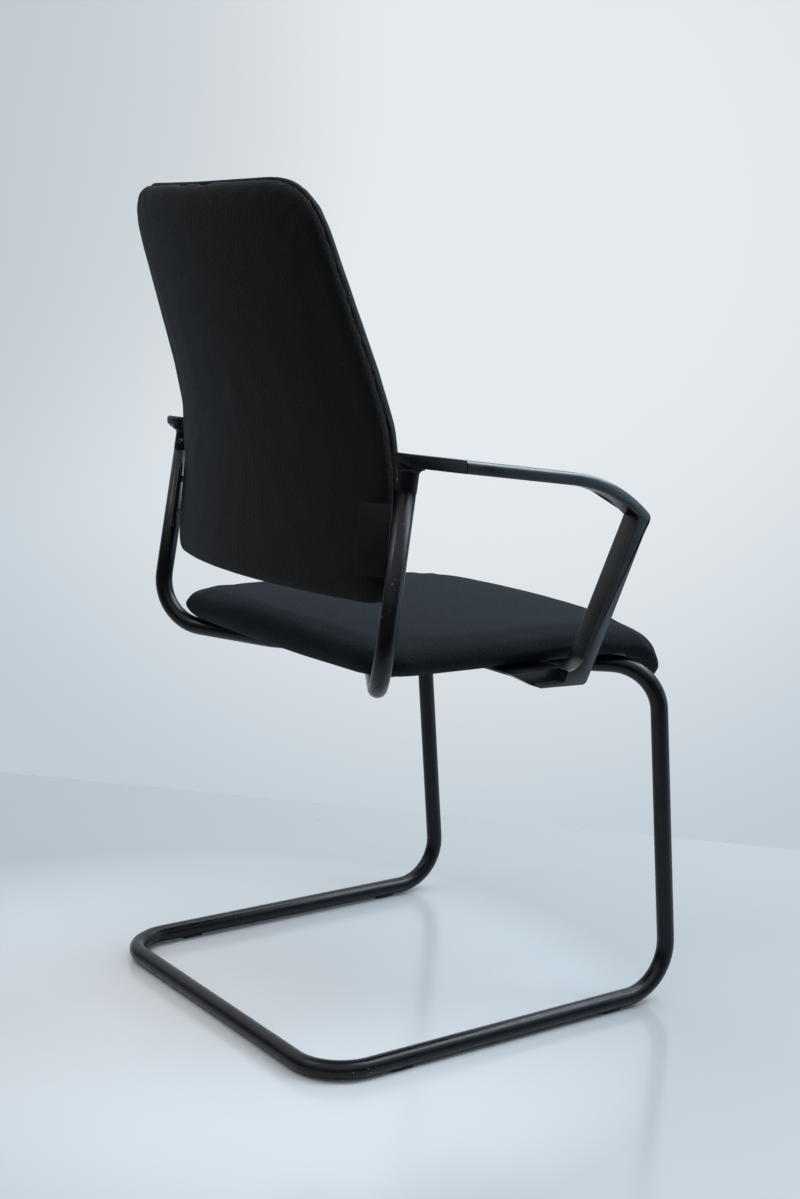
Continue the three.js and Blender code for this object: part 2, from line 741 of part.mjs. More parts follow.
function armOutline() {
  const inside = innerCorner();
  const innerRadius = armBendRadius - armThickness;
  const angleOf = (point) => Math.atan2(point.y - armCentre.y, point.x - armCentre.x);
  const footTop = lifted(footTopHeight);
  const legFoot = new THREE.Vector2(toe.x - legAcross + ((footTop - toe.y) * legWay.x) / legWay.y, footTop);
  const filletTop = legFoot.clone().addScaledVector(legWay, footFillet);
  const filletEnd = legFoot.clone().setX(legFoot.x - footFillet);
  const toeRear = new THREE.Vector2(toe.x - footToe, toe.y + footRise * (footToe / (toe.x - footFlangeEnd)));
  const toeFront = toe.clone().addScaledVector(legWay, footToe);
  return new THREE.Shape([
    new THREE.Vector2(armJointSetBack + fitGap, armTopAt(armJointSetBack)),
    new THREE.Vector2(armJointSetBack + fitGap, armTopAt(armJointSetBack) - armDrop),
    ...bowPoints(armCentre, innerRadius, Math.PI / 2 - armFall, angleOf(inside), armBendSteps),
    ...new THREE.QuadraticBezierCurve(filletTop, legFoot, filletEnd).getPoints(3),
    new THREE.Vector2(footTopEnd, footTop),
    new THREE.Vector2(footFlangeEnd, toe.y + footRise),
    ...new THREE.QuadraticBezierCurve(toeRear, toe, toeFront).getPoints(2),
    ...bowPoints(armCentre, armBendRadius, angleOf(armTip), angleOf(armBend), armBendSteps),
  ]);
}

// The hollow in the foot's outer side, open to the rear, that leaves a web and a bottom flange
function footPocket() {
  const low = toe.y + footRise + footFlange;
  const front = toe.x - legAcross - footFillet;
  const shape = new THREE.Shape([
    new THREE.Vector2(front, low),
    new THREE.Vector2(front + legWay.x * footFillet, low + legWay.y * footFillet),
    new THREE.Vector2(front, lifted(footTopHeight) + cutOverrun),
    new THREE.Vector2(footTopEnd - footFillet, lifted(footTopHeight) + cutOverrun),
    new THREE.Vector2(footTopEnd - footFillet, toe.y - cutOverrun),
    new THREE.Vector2(footFlangeEnd, toe.y - cutOverrun),
    new THREE.Vector2(footFlangeEnd, low),
  ]);
  return sidePlate(shape, armInnerFace + footWeb, armWidth - footWeb + cutOverrun);
}

// The slot in the arm's rear end that takes the connector's tongue
function tongueBar(clearance) {
  const middle = armTopAt(armJointSetBack) - armDrop / 2;
  const half = tongueThickness / 2 + clearance;
  const fall = Math.tan(armFall) * tongueLength;
  const start = armJointSetBack - cutOverrun;
  const end = armJointSetBack + tongueLength + clearance;
  const shape = new THREE.Shape([
    new THREE.Vector2(start, middle + half),
    new THREE.Vector2(start, middle - half),
    new THREE.Vector2(end, middle - fall - half),
    new THREE.Vector2(end, middle - fall + half),
  ]);
  const width = tongueWidth + 2 * clearance;
  return sidePlate(shape, armInnerFace + (armWidth - width) / 2, width);
}

function armLoop() {
  const loop = sidePlate(armOutline(), armInnerFace, armWidth, armEdgeRound);
  const tab = floorPlate(
    boxShape(-armInnerFace - footWeb / 2, -footTabInner, -footTabFront, -footTabRear, footTabCorner),
    footTabBottom, footTabTop);
  const screwHoles = seatScrewSpots.slice(2).map(screwHole);
  return cut(joined(cut(loop, footPocket()), tab), tongueBar(fitGap), ...screwHoles);
}

// Connector: the arm's rear block, the sleeve below it, the spigot inside the upright and the tongue in the arm
function armConnector() {
  const blockEnd = uprightAt(armTopAt(uprightTopSetBack) - glideLift);
  const rear = -blockEnd.y - blockRound;
  const topRear = armTopAt(rear);
  const sleeveFront = -blockEnd.y + sleeveRadius;
  const lowRear = armTopAt(rear) - armDrop;
  const lowFront = armTopAt(armJointSetBack) - armDrop;
  const filletLow = armTopAt(sleeveFront) - armDrop - blockFillet;
  const filletCorner = new THREE.Vector2(sleeveFront, filletLow + blockFillet);
  const filletTop = new THREE.Vector2(sleeveFront + blockFillet, armTopAt(sleeveFront + blockFillet) - armDrop);
  const side = new THREE.Shape([
    new THREE.Vector2(rear, topRear),
    new THREE.Vector2(rear, lowRear),
    new THREE.Vector2(-blockEnd.y, lowRear),
    new THREE.Vector2(-blockEnd.y, filletLow),
    ...new THREE.QuadraticBezierCurve(new THREE.Vector2(sleeveFront, filletLow), filletCorner, filletTop).getPoints(4),
    new THREE.Vector2(armJointSetBack, lowFront),
    new THREE.Vector2(armJointSetBack, armTopAt(armJointSetBack)),
  ]);
  const centre = -uprightTopHalfWidth;
  const outer = -armInnerFace - armWidth;
  const plan = roundedShape([
    [centre + blockHalfWidth, -rear, blockRearRound],
    [centre - blockHalfWidth, -rear, blockRearRound],
    [centre - blockHalfWidth, blockEnd.y - blockRound, blockRound],
    [outer, -blockFlareSetBack, blockRound],
    [outer, -armJointSetBack, 0],
    [-armInnerFace, -armJointSetBack, 0],
  ]);
  const innermost = uprightTopHalfWidth - blockHalfWidth - cutOverrun;
  const wide = sidePlate(side, innermost, -outer + cutOverrun - innermost);
  const tall = floorPlate(plan, filletLow - cutOverrun, topRear + cutOverrun);
  const sleeveBottom = uprightTop.clone().addScaledVector(uprightWay, fitGap);
  const sleeveTop = uprightAt(lowRear - glideLift).addScaledVector(uprightWay, armThickness / 2);
  const bore = (tubeRadius - tubeWall) * Math.cos(Math.PI / boreSides) - fitGap;
  return joined(
    shared(wide, tall),
    rod(sleeveBottom, sleeveTop, sleeveRadius, blockSides),
    rod(sleeveBottom.clone().addScaledVector(uprightWay, -spigotLength), sleeveTop, bore, screwSides),
    tongueBar(0));
}

addPair('frame_tube', frameTube(), tubeCoat);
addPiece('frame_joint_plug', jointPlug(), screwSteel);
addPair('glide_rear', glide(glideRearInset), glidePlastic);
addPair('glide_front', glide(baseDepth - glideFrontInset), glidePlastic);
addPiece('seat_bearer_rear', bearer(bearerRearSetBack), plateCoat);
addPiece('seat_bearer_front', bearer(bearerFrontSetBack), plateCoat);
const leftSpots = seatScrewSpots.map((spot) => ({ ...spot, x: -spot.x }));
addPiece('seat_shell', cut(seatShell(), ...[...seatScrewSpots, ...leftSpots].map(screwHole)), boardPaint);
addPiece('seat_cushion', seatCushion(), seatCloth);
for (const spot of seatScrewSpots) addPair(spot.name, seatScrew(spot), screwSteel);
const studHoles = earStuds.map((place) => stud(place, studRadius + fitGap, -cutOverrun, fitGap));
const bothStudHoles = [...studHoles, ...studHoles.map(mirrored)];
addPiece('back_panel', cut(backPanel(), ...bothStudHoles), backCloth);
addPiece('back_board', cut(backBoard(), ...bothStudHoles), boardPaint);
addPiece('back_cushion', backCushion(), backCloth);
addPair('back_ear', ear(), plateCoat);
addPair('back_stud_lower', stud(earStuds[0], studRadius, 0, 0), screwSteel);
addPair('back_stud_upper', stud(earStuds[1], studRadius, 0, 0), screwSteel);
addPair('arm_connector', armConnector(), armPlastic);
addPair('arm_loop', armLoop(), armPlastic);

// Centre the chair over the origin, front to back
const extent = new THREE.Box3().setFromObject(chair);
chair.position.y = -extent.getCenter(at(0, 0, 0)).y;
chair.updateMatrixWorld(true);

export default chair;
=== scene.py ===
# Sled base visitor chair with arms, dressed for a pale studio
# Metres, +Z up, the sitter faces -Y, so the sitter's right arm is at -X
import math

import bmesh
import bpy
from mathutils import Matrix, Vector
from mathutils.bvhtree import BVHTree


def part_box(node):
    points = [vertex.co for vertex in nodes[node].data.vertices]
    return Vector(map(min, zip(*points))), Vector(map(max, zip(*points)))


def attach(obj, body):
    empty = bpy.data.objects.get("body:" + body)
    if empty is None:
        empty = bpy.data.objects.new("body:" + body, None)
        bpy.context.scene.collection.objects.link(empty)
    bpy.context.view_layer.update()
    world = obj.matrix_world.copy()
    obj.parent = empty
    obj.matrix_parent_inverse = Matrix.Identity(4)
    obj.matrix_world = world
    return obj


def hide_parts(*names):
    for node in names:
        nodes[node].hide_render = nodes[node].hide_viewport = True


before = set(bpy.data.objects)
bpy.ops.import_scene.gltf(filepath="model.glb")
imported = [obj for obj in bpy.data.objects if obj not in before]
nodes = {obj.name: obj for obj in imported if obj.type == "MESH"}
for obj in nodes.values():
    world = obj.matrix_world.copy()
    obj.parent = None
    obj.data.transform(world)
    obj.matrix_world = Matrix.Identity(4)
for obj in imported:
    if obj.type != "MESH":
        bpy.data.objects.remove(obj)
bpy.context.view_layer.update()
scene = bpy.context.scene

# The rear crossbar's axis, from which the frame and the camera are set out
tube = {"radius": 0.011, "wall": 0.002, "bend": 0.060, "steps": 14, "sides": 5, "lift": 0.0012}
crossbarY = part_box("frame_tube_right")[1].y - tube["radius"]

# Camera
shot = {
    "place": (-1.84162, 1.04354, 0.88963),
    "right": (-0.57401355, -0.81843843, 0.02582617),
    "up": (0.15735044, -0.07929636, 0.98435407),
    "back": (-0.80358527, 0.56909633, 0.17429883),
    "lens": 55.08,
    "sensor": 36.0,
    "clip": (0.05, 60.0),
}


def makeCamera():
    lens = bpy.data.cameras.new("photoCamera")
    lens.lens = shot["lens"]
    lens.sensor_width = shot["sensor"]
    lens.sensor_fit = "AUTO"
    lens.clip_start, lens.clip_end = shot["clip"]
    camera = bpy.data.objects.new("photoCamera", lens)
    turn = Matrix((shot["right"], shot["up"], shot["back"])).transposed()
    place = Vector(shot["place"]) + Vector((0, crossbarY, 0))
    camera.matrix_world = Matrix.Translation(place) @ turn.to_4x4()
    scene.collection.objects.link(camera)
    scene.camera = camera


makeCamera()
print("camera placed")


# Small helpers for meshes and pieces
nodeWeld = 0.00002
ownWeld = 0.00001


def makePiece(name, mesh, material, hides=()):
    piece = bpy.data.objects.new(name, mesh)
    scene.collection.objects.link(piece)
    mesh.materials.clear()
    mesh.materials.append(material)
    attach(piece, "root")
    if hides:
        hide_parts(*hides)
    return piece


def meshFrom(bm, name, smoothAngle=40):
    bmesh.ops.recalc_face_normals(bm, faces=bm.faces)
    mesh = bpy.data.meshes.new(name)
    bm.to_mesh(mesh)
    bm.free()
    smoothen(mesh, smoothAngle)
    return mesh


def smoothen(mesh, angle):
    mesh.shade_smooth()
    if angle < 180:
        mesh.set_sharp_from_angle(angle=math.radians(angle))


def settle(piece):
    scene.view_layers[0].update()
    graph = bpy.context.evaluated_depsgraph_get()
    mesh = bpy.data.meshes.new_from_object(piece.evaluated_get(graph), depsgraph=graph)
    piece.modifiers.clear()
    piece.data = mesh
    return mesh


def nodeCopy(nodeName, flat=1.0):
    bm = bmesh.new()
    bm.from_mesh(nodes[nodeName].data)
    bmesh.ops.remove_doubles(bm, verts=bm.verts, dist=nodeWeld)
    if flat:
        bmesh.ops.dissolve_limit(bm, angle_limit=math.radians(flat), verts=bm.verts, edges=bm.edges)
    return bm


def softEdges(piece, width, angle):
    bevel = piece.modifiers.new("softEdges", "BEVEL")
    bevel.width = width
    bevel.segments = 2
    bevel.limit_method = "ANGLE"
    bevel.angle_limit = math.radians(angle)
    bevel.use_clamp_overlap = True
    bevel.harden_normals = False


def dressNode(name, nodeName, material, width, angle=30):
    mesh = bpy.data.meshes.new(name)
    bm = nodeCopy(nodeName)
    bm.to_mesh(mesh)
    bm.free()
    piece = makePiece(name, mesh, material, (nodeName,))
    softEdges(piece, width, angle)
    smoothen(settle(piece), 40)


# Node helpers for the materials
def blankMaterial(name, colour, roughness, sockets=None):
    material = bpy.data.materials.new(name)
    material.use_nodes = True
    shader = material.node_tree.nodes["Principled BSDF"]
    shader.inputs["Base Color"].default_value = (*colour, 1)
    shader.inputs["Roughness"].default_value = roughness
    for socket, value in (sockets or {}).items():
        shader.inputs[socket].default_value = value
    return material


def put(material, kind, values=None, wires=None, **settings):
    made = material.node_tree.nodes.new(kind)
    for key, value in settings.items():
        setattr(made, key, value)
    for socket, value in (values or {}).items():
        made.inputs[socket].default_value = value
    for socket, source in (wires or {}).items():
        material.node_tree.links.new(source, made.inputs[socket])
    return made


def toShader(material, socket, source):
    shader = material.node_tree.nodes["Principled BSDF"]
    material.node_tree.links.new(source, shader.inputs[socket])


def objectSpace(material):
    return put(material, "ShaderNodeTexCoord").outputs["Object"]


def noiseAt(material, space, scale, detail=2.0, roughness=0.5):
    values = {"Scale": scale, "Detail": detail, "Roughness": roughness}
    return put(material, "ShaderNodeTexNoise", values, {"Vector": space}).outputs["Fac"]


def ranged(material, source, low, high, toLow, toHigh):
    values = {"From Min": low, "From Max": high, "To Min": toLow, "To Max": toHigh}
    return put(material, "ShaderNodeMapRange", values, {"Value": source}).outputs["Result"]


def sums(material, kind, first, second):
    made = put(material, "ShaderNodeMath", operation=kind)
    for socket, value in ((0, first), (1, second)):
        if isinstance(value, (int, float)):
            made.inputs[socket].default_value = value
        else:
            material.node_tree.links.new(value, made.inputs[socket])
    return made.outputs[0]


def mixed(material, factor, first, second):
    made = put(material, "ShaderNodeMix", data_type="RGBA")
    material.node_tree.links.new(factor, made.inputs[0])
    for socket, value in ((6, first), (7, second)):
        if isinstance(value, tuple):
            made.inputs[socket].default_value = (*value, 1)
        else:
            material.node_tree.links.new(value, made.inputs[socket])
    return made.outputs[2]


def bumped(material, height, strength, distance, under=None):
    wires = {"Height": height}
    if under:
        wires["Normal"] = under
    made = put(material, "ShaderNodeBump", {"Strength": strength, "Distance": distance}, wires)
    return made.outputs["Normal"]


def scaledColour(colour, share):
    return tuple(channel * share for channel in colour)


# Powder coat: orange peel, faint mottling, and small chips down to the grey primer
midNoise = (0.3, 0.7)
coat = {
    "mottleScale": 14, "dark": 0.82, "light": 1.22,
    "chipScale": 170.0, "chipEdge": (0.10, 0.16), "patchScale": 17, "patchEdge": (0.70, 0.74),
    "primer": (0.16, 0.16, 0.165), "scuffScale": 60, "scuffEdge": (0.3, 0.75), "smoother": 0.05,
    "rougher": 0.09, "peelScale": 950, "peelDepth": 0.0004, "chipBump": 0.5, "chipDepth": 0.0003,
}


def powderCoat(name, colour, roughness, chips=0.0, peel=0.16, shine=0.5):
    material = blankMaterial(name, colour, roughness, {"Specular IOR Level": shine})
    space = objectSpace(material)
    mottle = ranged(material, noiseAt(material, space, coat["mottleScale"], 3), *midNoise, 0, 1)
    tone = mixed(material, mottle, scaledColour(colour, coat["dark"]), scaledColour(colour, coat["light"]))
    cells = put(material, "ShaderNodeTexVoronoi", {"Scale": coat["chipScale"]}, {"Vector": space})
    chip = ranged(material, cells.outputs["Distance"], *coat["chipEdge"], 1, 0)
    low, high = coat["patchEdge"]
    patch = ranged(material, noiseAt(material, space, coat["patchScale"], 1), low - chips, high - chips, 0, 1)
    chipped = sums(material, "MULTIPLY", chip, patch)
    toShader(material, "Base Color", mixed(material, chipped, tone, coat["primer"]))
    scuffs = noiseAt(material, space, coat["scuffScale"], 4)
    least, most = roughness - coat["smoother"], roughness + coat["rougher"]
    toShader(material, "Roughness", ranged(material, scuffs, *coat["scuffEdge"], least, most))
    rough = bumped(material, noiseAt(material, space, coat["peelScale"], 2), peel, coat["peelDepth"])
    whole = sums(material, "SUBTRACT", 1, chipped)
    toShader(material, "Normal", bumped(material, whole, coat["chipBump"], coat["chipDepth"], rough))
    return material


# Moulded plastic: fine spark grain, polished a little where hands rub it
plastic = {
    "toneScale": 11, "dark": 0.85, "light": 1.18, "rubScale": 26, "rub": 0.06, "grainDepth": 0.0003,
}


def mouldedPlastic(name, colour, roughness, grain=0.2, scale=1700, shine=0.5):
    material = blankMaterial(name, colour, roughness, {"Specular IOR Level": shine})
    space = objectSpace(material)
    wide = ranged(material, noiseAt(material, space, plastic["toneScale"], 3), *midNoise, 0, 1)
    dark, light = scaledColour(colour, plastic["dark"]), scaledColour(colour, plastic["light"])
    toShader(material, "Base Color", mixed(material, wide, dark, light))
    rubs = noiseAt(material, space, plastic["rubScale"], 4, 0.6)
    rubbed = ranged(material, rubs, *midNoise, roughness - plastic["rub"], roughness + plastic["rub"])
    toShader(material, "Roughness", rubbed)
    sparks = noiseAt(material, space, scale, 2)
    toShader(material, "Normal", bumped(material, sparks, grain, plastic["grainDepth"]))
    return material


# Woven cloth: two crossed yarn waves, flecked yarns, worn paler patches
weaving = {
    "pitch": 0.0013, "fleck": 0.5, "roughness": 0.88, "sheenRoughness": 0.45,
    "grainScale": 360, "grainEdge": (0.35, 0.65), "speckScale": 820, "speckEdge": (0.42, 0.68),
    "wornScale": 7, "wornEdge": (0.35, 0.7), "leastWorn": 0.35, "dark": 0.75, "light": 2.4,
    "matt": (0.8, 0.95), "fuzzScale": 1500, "fuzz": 0.35, "fuzzDepth": 0.0003,
    "weave": 0.45, "weaveDepth": 0.0004, "grain": 0.5, "grainDepth": 0.0009,
}


def wovenCloth(name, colour, sheen, tint, shine=0.2):
    material = blankMaterial(name, colour, weaving["roughness"], {
        "Sheen Weight": sheen, "Sheen Roughness": weaving["sheenRoughness"], "Sheen Tint": (*tint, 1),
        "Specular IOR Level": shine,
    })
    space = objectSpace(material)
    parts = put(material, "ShaderNodeSeparateXYZ", wires={"Vector": space}).outputs
    warp = sums(material, "ADD", parts["X"], parts["Z"])
    weft = sums(material, "SUBTRACT", parts["Y"], parts["Z"])
    yarns = []
    for way in (warp, weft):
        turns = sums(material, "MULTIPLY", way, 2 * math.pi / weaving["pitch"])
        yarns.append(put(material, "ShaderNodeMath", wires={0: turns}, operation="SINE").outputs[0])
    weave = ranged(material, sums(material, "MULTIPLY", yarns[0], yarns[1]), -1, 1, 0, 1)
    grain = ranged(material, noiseAt(material, space, weaving["grainScale"], 2), *weaving["grainEdge"], 0, 1)
    specks = noiseAt(material, space, weaving["speckScale"], 3, 0.6)
    specks = ranged(material, specks, *weaving["speckEdge"], 0, 1)
    worn = ranged(material, noiseAt(material, space, weaving["wornScale"], 3), *weaving["wornEdge"], 0, 1)
    pale = sums(material, "MULTIPLY", specks, sums(material, "ADD", weaving["leastWorn"], worn))
    light = sums(material, "MULTIPLY", pale, weaving["fleck"])
    darkYarn, lightYarn = scaledColour(colour, weaving["dark"]), scaledColour(colour, weaving["light"])
    toShader(material, "Base Color", mixed(material, light, darkYarn, lightYarn))
    toShader(material, "Roughness", ranged(material, specks, 0, 1, *weaving["matt"]))
    fuzz = noiseAt(material, space, weaving["fuzzScale"], 2)
    fuzz = bumped(material, fuzz, weaving["fuzz"], weaving["fuzzDepth"])
    woven = bumped(material, weave, weaving["weave"], weaving["weaveDepth"], fuzz)
    toShader(material, "Normal", bumped(material, grain, weaving["grain"], weaving["grainDepth"], woven))
    return material


# Blackened ply: long grain along X, with open pores
ply = {
    "stretch": (6, 90, 90), "grainScale": 4, "grainEdge": (0.35, 0.7), "dark": 0.7, "light": 1.6,
    "roughness": 0.6, "matt": (0.5, 0.72), "shine": 0.3, "grain": 0.3, "grainDepth": 0.0004,
}


def blackPly(name, colour):
    material = blankMaterial(name, colour, ply["roughness"], {"Specular IOR Level": ply["shine"]})
    space = put(material, "ShaderNodeMapping", {"Scale": ply["stretch"]}, {"Vector": objectSpace(material)})
    grain = noiseAt(material, space.outputs[0], ply["grainScale"], 5, 0.6)
    share = ranged(material, grain, *ply["grainEdge"], 0, 1)
    tone = mixed(material, share, scaledColour(colour, ply["dark"]), scaledColour(colour, ply["light"]))
    toShader(material, "Base Color", tone)
    toShader(material, "Roughness", ranged(material, grain, *midNoise, *ply["matt"]))
    toShader(material, "Normal", bumped(material, grain, ply["grain"], ply["grainDepth"]))
    return material


# Black oxide steel: dark, faintly brushed
oxide = {
    "scratchScale": 420, "dark": 0.7, "light": 1.5, "smoother": 0.08, "rougher": 0.1,
    "scratch": 0.15, "scratchDepth": 0.0002,
}


def blackOxide(name, colour, roughness):
    material = blankMaterial(name, colour, roughness, {"Metallic": 1.0})
    space = objectSpace(material)
    scratch = noiseAt(material, space, oxide["scratchScale"], 4, 0.7)
    tone = ranged(material, scratch, *midNoise, 0, 1)
    dark, light = scaledColour(colour, oxide["dark"]), scaledColour(colour, oxide["light"])
    toShader(material, "Base Color", mixed(material, tone, dark, light))
    least, most = roughness - oxide["smoother"], roughness + oxide["rougher"]
    toShader(material, "Roughness", ranged(material, scratch, *midNoise, least, most))
    toShader(material, "Normal", bumped(material, scratch, oxide["scratch"], oxide["scratchDepth"]))
    return material


tubeCoat = powderCoat("tubeCoat", (0.0026, 0.0038, 0.0062), roughness=0.27, chips=0.01, peel=0.16, shine=0.29)
plateCoat = powderCoat("plateCoat", (0.0048, 0.0046, 0.0042), roughness=0.5, chips=0.0, peel=0.2, shine=0.22)
armPlastic = mouldedPlastic("armPlastic", (0.0035, 0.0050, 0.0070), roughness=0.30, grain=0.10, shine=0.7)
connectorPlastic = mouldedPlastic(
    "connectorPlastic", (0.0016, 0.0022, 0.0032), roughness=0.40, grain=0.18, shine=0.2)
glidePlastic = mouldedPlastic("glidePlastic", (0.008, 0.008, 0.009), roughness=0.5, grain=0.3, scale=900)
seatCloth = wovenCloth("seatCloth", (0.0040, 0.0063, 0.0078), sheen=0.035, tint=(0.45, 0.7, 0.95), shine=0.12)
backCloth = wovenCloth("backCloth", (0.0078, 0.0070, 0.0065), sheen=0.05, tint=(0.45, 0.72, 0.98))
shellPly = blackPly("shellPly", (0.010, 0.010, 0.010))
screwSteel = blackOxide("screwSteel", (0.09, 0.09, 0.095), roughness=0.42)
print("materials made")

# Studio: a pale floor that ends at a bright wall's foot, soft light from above and from the front. The floor's
# colour is scaled by painted shade and a painted pool of light
studio = {
    "wallFoot": ((1.1422, 0.0333), (0.0866, -0.8782)),
    "floorColour": (0.520, 0.536, 0.547),
    "floorRoughness": 0.16,
    "wallColour": (0.79, 0.83, 0.86),
    "wallFarColour": (0.53, 0.60, 0.66),
    "roomColour": (0.055, 0.055, 0.058),
    "ceilingColour": (0.96, 0.99, 1.02),
    # Painted shade: the floor's colour darker towards the wall
    "paintedShadeSpan": (-0.55, 0.30),
    "paintedFloorShade": (0.82, 0.68),
    # Painted light: the floor's colour lighter round a spot by the chair's rear, where the chair's shadow
    # falls
    "paintedPoolCentre": (0.05, 0.27, 0.0),
    "paintedPoolReach": (0.08, 0.62),
    "paintedPoolGain": 2.1,
    # Painted shade: the floor's colour fades dark towards the camera
    "cameraWay": (-0.816, 0.578, 0.0),
    "paintedShadeFade": (0.64, 1.25),
    "paintedShadeDark": 0.12,
    "wallWay": (0.653, -0.757, 0.0),
    "wallReach": (-0.05, 0.6),
    "glowWay": (0.785, -0.606, 0.032),
    "glowReach": (0.93, 1.0),
    "cornerWay": (0.925, -0.370, 0.082),
    "cornerReach": (0.972, 1.0),
    "cornerShare": 0.45,
    "cornerTone": 0.75,
    "ceilingReach": (0.18, 0.75),
    "reach": 9.0,
}
wear = {
    "cloudScale": 1.3, "cloud": (0.965, 1.035),
    "streakTurn": 0.7, "streakStretch": (2, 26, 1), "streakScale": 4, "streakEdge": (0.70, 0.86),
    "streakShare": 0.22, "streakTone": 0.8,
    "spotScale": 7.0, "spotEdge": (0.016, 0.03), "spotShare": 0.4, "spotTone": 0.45,
    "polishScale": 3, "polish": (0.10, 0.22), "waveScale": 9, "wave": 0.03, "waveDepth": 0.002,
}


def measured(material, space, spot, operation):
    made = put(material, "ShaderNodeVectorMath", {1: Vector(spot)}, {0: space}, operation=operation)
    return made.outputs["Value"]


# Painted light and shade for the floor's colour: painted shade darker towards the wall and towards the camera,
# and a painted pool of light where the chair's shadow falls
def paintedFloorLight(material, space):
    # Painted shade: the floor's colour darker towards the wall
    along = measured(material, space, studio["wallWay"], "DOT_PRODUCT")
    shade = ranged(material, along, *studio["paintedShadeSpan"], *studio["paintedFloorShade"])
    # Painted shade: the floor's colour fades dark towards the camera
    near = measured(material, space, studio["cameraWay"], "DOT_PRODUCT")
    unlit = ranged(material, near, *studio["paintedShadeFade"], 1, studio["paintedShadeDark"])
    # Painted light: a pool lighter round a spot by the chair's rear, where the chair's shadow falls
    fromPaintedPool = measured(material, space, studio["paintedPoolCentre"], "DISTANCE")
    pool = ranged(material, fromPaintedPool, *studio["paintedPoolReach"], studio["paintedPoolGain"], 1)
    return sums(material, "MULTIPLY", sums(material, "MULTIPLY", shade, unlit), pool)


def paleFloorPaintedLight():
    colour = studio["floorColour"]
    material = blankMaterial("paleFloorPaintedLight", colour, studio["floorRoughness"], {"Specular IOR Level": 0.5})
    space = objectSpace(material)
    cloud = ranged(material, noiseAt(material, space, wear["cloudScale"], 3), *midNoise, 0, 1)
    tone = mixed(material, cloud, *(scaledColour(colour, share) for share in wear["cloud"]))
    # The floor's tone is scaled by the painted light and shade
    lit = put(material, "ShaderNodeVectorMath", wires={0: tone}, operation="SCALE")
    material.node_tree.links.new(paintedFloorLight(material, space), lit.inputs["Scale"])
    laid = {"Rotation": (0, 0, wear["streakTurn"]), "Scale": wear["streakStretch"]}
    streaks = put(material, "ShaderNodeMapping", laid, {"Vector": space})
    scratch = noiseAt(material, streaks.outputs[0], wear["streakScale"], 5, 0.7)
    marks = ranged(material, scratch, *wear["streakEdge"], 0, wear["streakShare"])
    tone = mixed(material, marks, lit.outputs[0], scaledColour(colour, wear["streakTone"]))
    cells = put(material, "ShaderNodeTexVoronoi", {"Scale": wear["spotScale"]}, {"Vector": space})
    spots = ranged(material, cells.outputs["Distance"], *wear["spotEdge"], wear["spotShare"], 0)
    toShader(material, "Base Color", mixed(material, spots, tone, scaledColour(colour, wear["spotTone"])))
    polish = noiseAt(material, space, wear["polishScale"], 4, 0.6)
    toShader(material, "Roughness", ranged(material, polish, *midNoise, *wear["polish"]))
    waves = noiseAt(material, space, wear["waveScale"], 3)
    toShader(material, "Normal", bumped(material, waves, wear["wave"], wear["waveDepth"]))
    return material


def makeFloor():
    near, far = (Vector((*spot, 0)) for spot in studio["wallFoot"])
    along = (near - far).normalized()
    out = Vector((-along.y, along.x, 0))
    bm = bmesh.new()
    bmesh.ops.create_grid(bm, x_segments=8, y_segments=8, size=studio["reach"])
    turn = Matrix((along, out, Vector((0, 0, 1)))).transposed().to_4x4()
    middle = (near + far) / 2 + out * studio["reach"]
    bmesh.ops.transform(bm, matrix=Matrix.Translation(middle) @ turn, verts=bm.verts)
    mesh = bpy.data.meshes.new("studioFloor")
    bm.to_mesh(mesh)
    bm.free()
    mesh.materials.append(paleFloorPaintedLight())
    floor = bpy.data.objects.new("studioFloor", mesh)
    scene.collection.objects.link(floor)


def makeWorld():
    world = bpy.data.worlds.new("studioWorld")
    scene.world = world
    world.use_nodes = True
    sky = world.node_tree.nodes["Background"]
    way = put(world, "ShaderNodeTexCoord").outputs["Generated"]

    def facing(target, reach, share=1.0):
        aim = Vector(target).normalized()
        dot = put(world, "ShaderNodeVectorMath", {1: aim}, {0: way}, operation="DOT_PRODUCT").outputs["Value"]
        made = put(world, "ShaderNodeMapRange", wires={"Value": dot}, interpolation_type="SMOOTHSTEP")
        for socket, value in zip(("From Min", "From Max", "To Min", "To Max"), (*reach, 0, share)):
            made.inputs[socket].default_value = value
        return made.outputs["Result"]

    far = studio["wallFarColour"]
    wall = mixed(world, facing(studio["glowWay"], studio["glowReach"]), far, studio["wallColour"])
    shade = facing(studio["cornerWay"], studio["cornerReach"], studio["cornerShare"])
    wall = mixed(world, shade, wall, scaledColour(far, studio["cornerTone"]))
    room = mixed(world, facing(studio["wallWay"], studio["wallReach"]), studio["roomColour"], wall)
    whole = mixed(world, facing((0, 0, 1), studio["ceilingReach"]), room, studio["ceilingColour"])
    world.node_tree.links.new(whole, sky.inputs["Color"])
    sky.inputs["Strength"].default_value = 1.0


softboxes = {
    "keySoftbox": {
        "place": (-0.35, -1.5, 2.5), "target": (0, 0, 0.3), "size": (2.1, 2.1), "power": 96,
        "colour": (0.72, 0.87, 1.0)},
    "sideSoftbox": {
        "place": (-1.9, -2.4, 0.9), "target": (0, 0, 0.6), "size": (0.5, 1.6), "power": 9,
        "colour": (0.42, 0.72, 1.0)},
    "rearSoftbox": {
        "place": (0.4, 1.35, 2.05), "target": (0, 0.3, 0.9), "size": (0.5, 0.5), "power": 4.5,
        "colour": (1.0, 0.98, 0.96)},
}


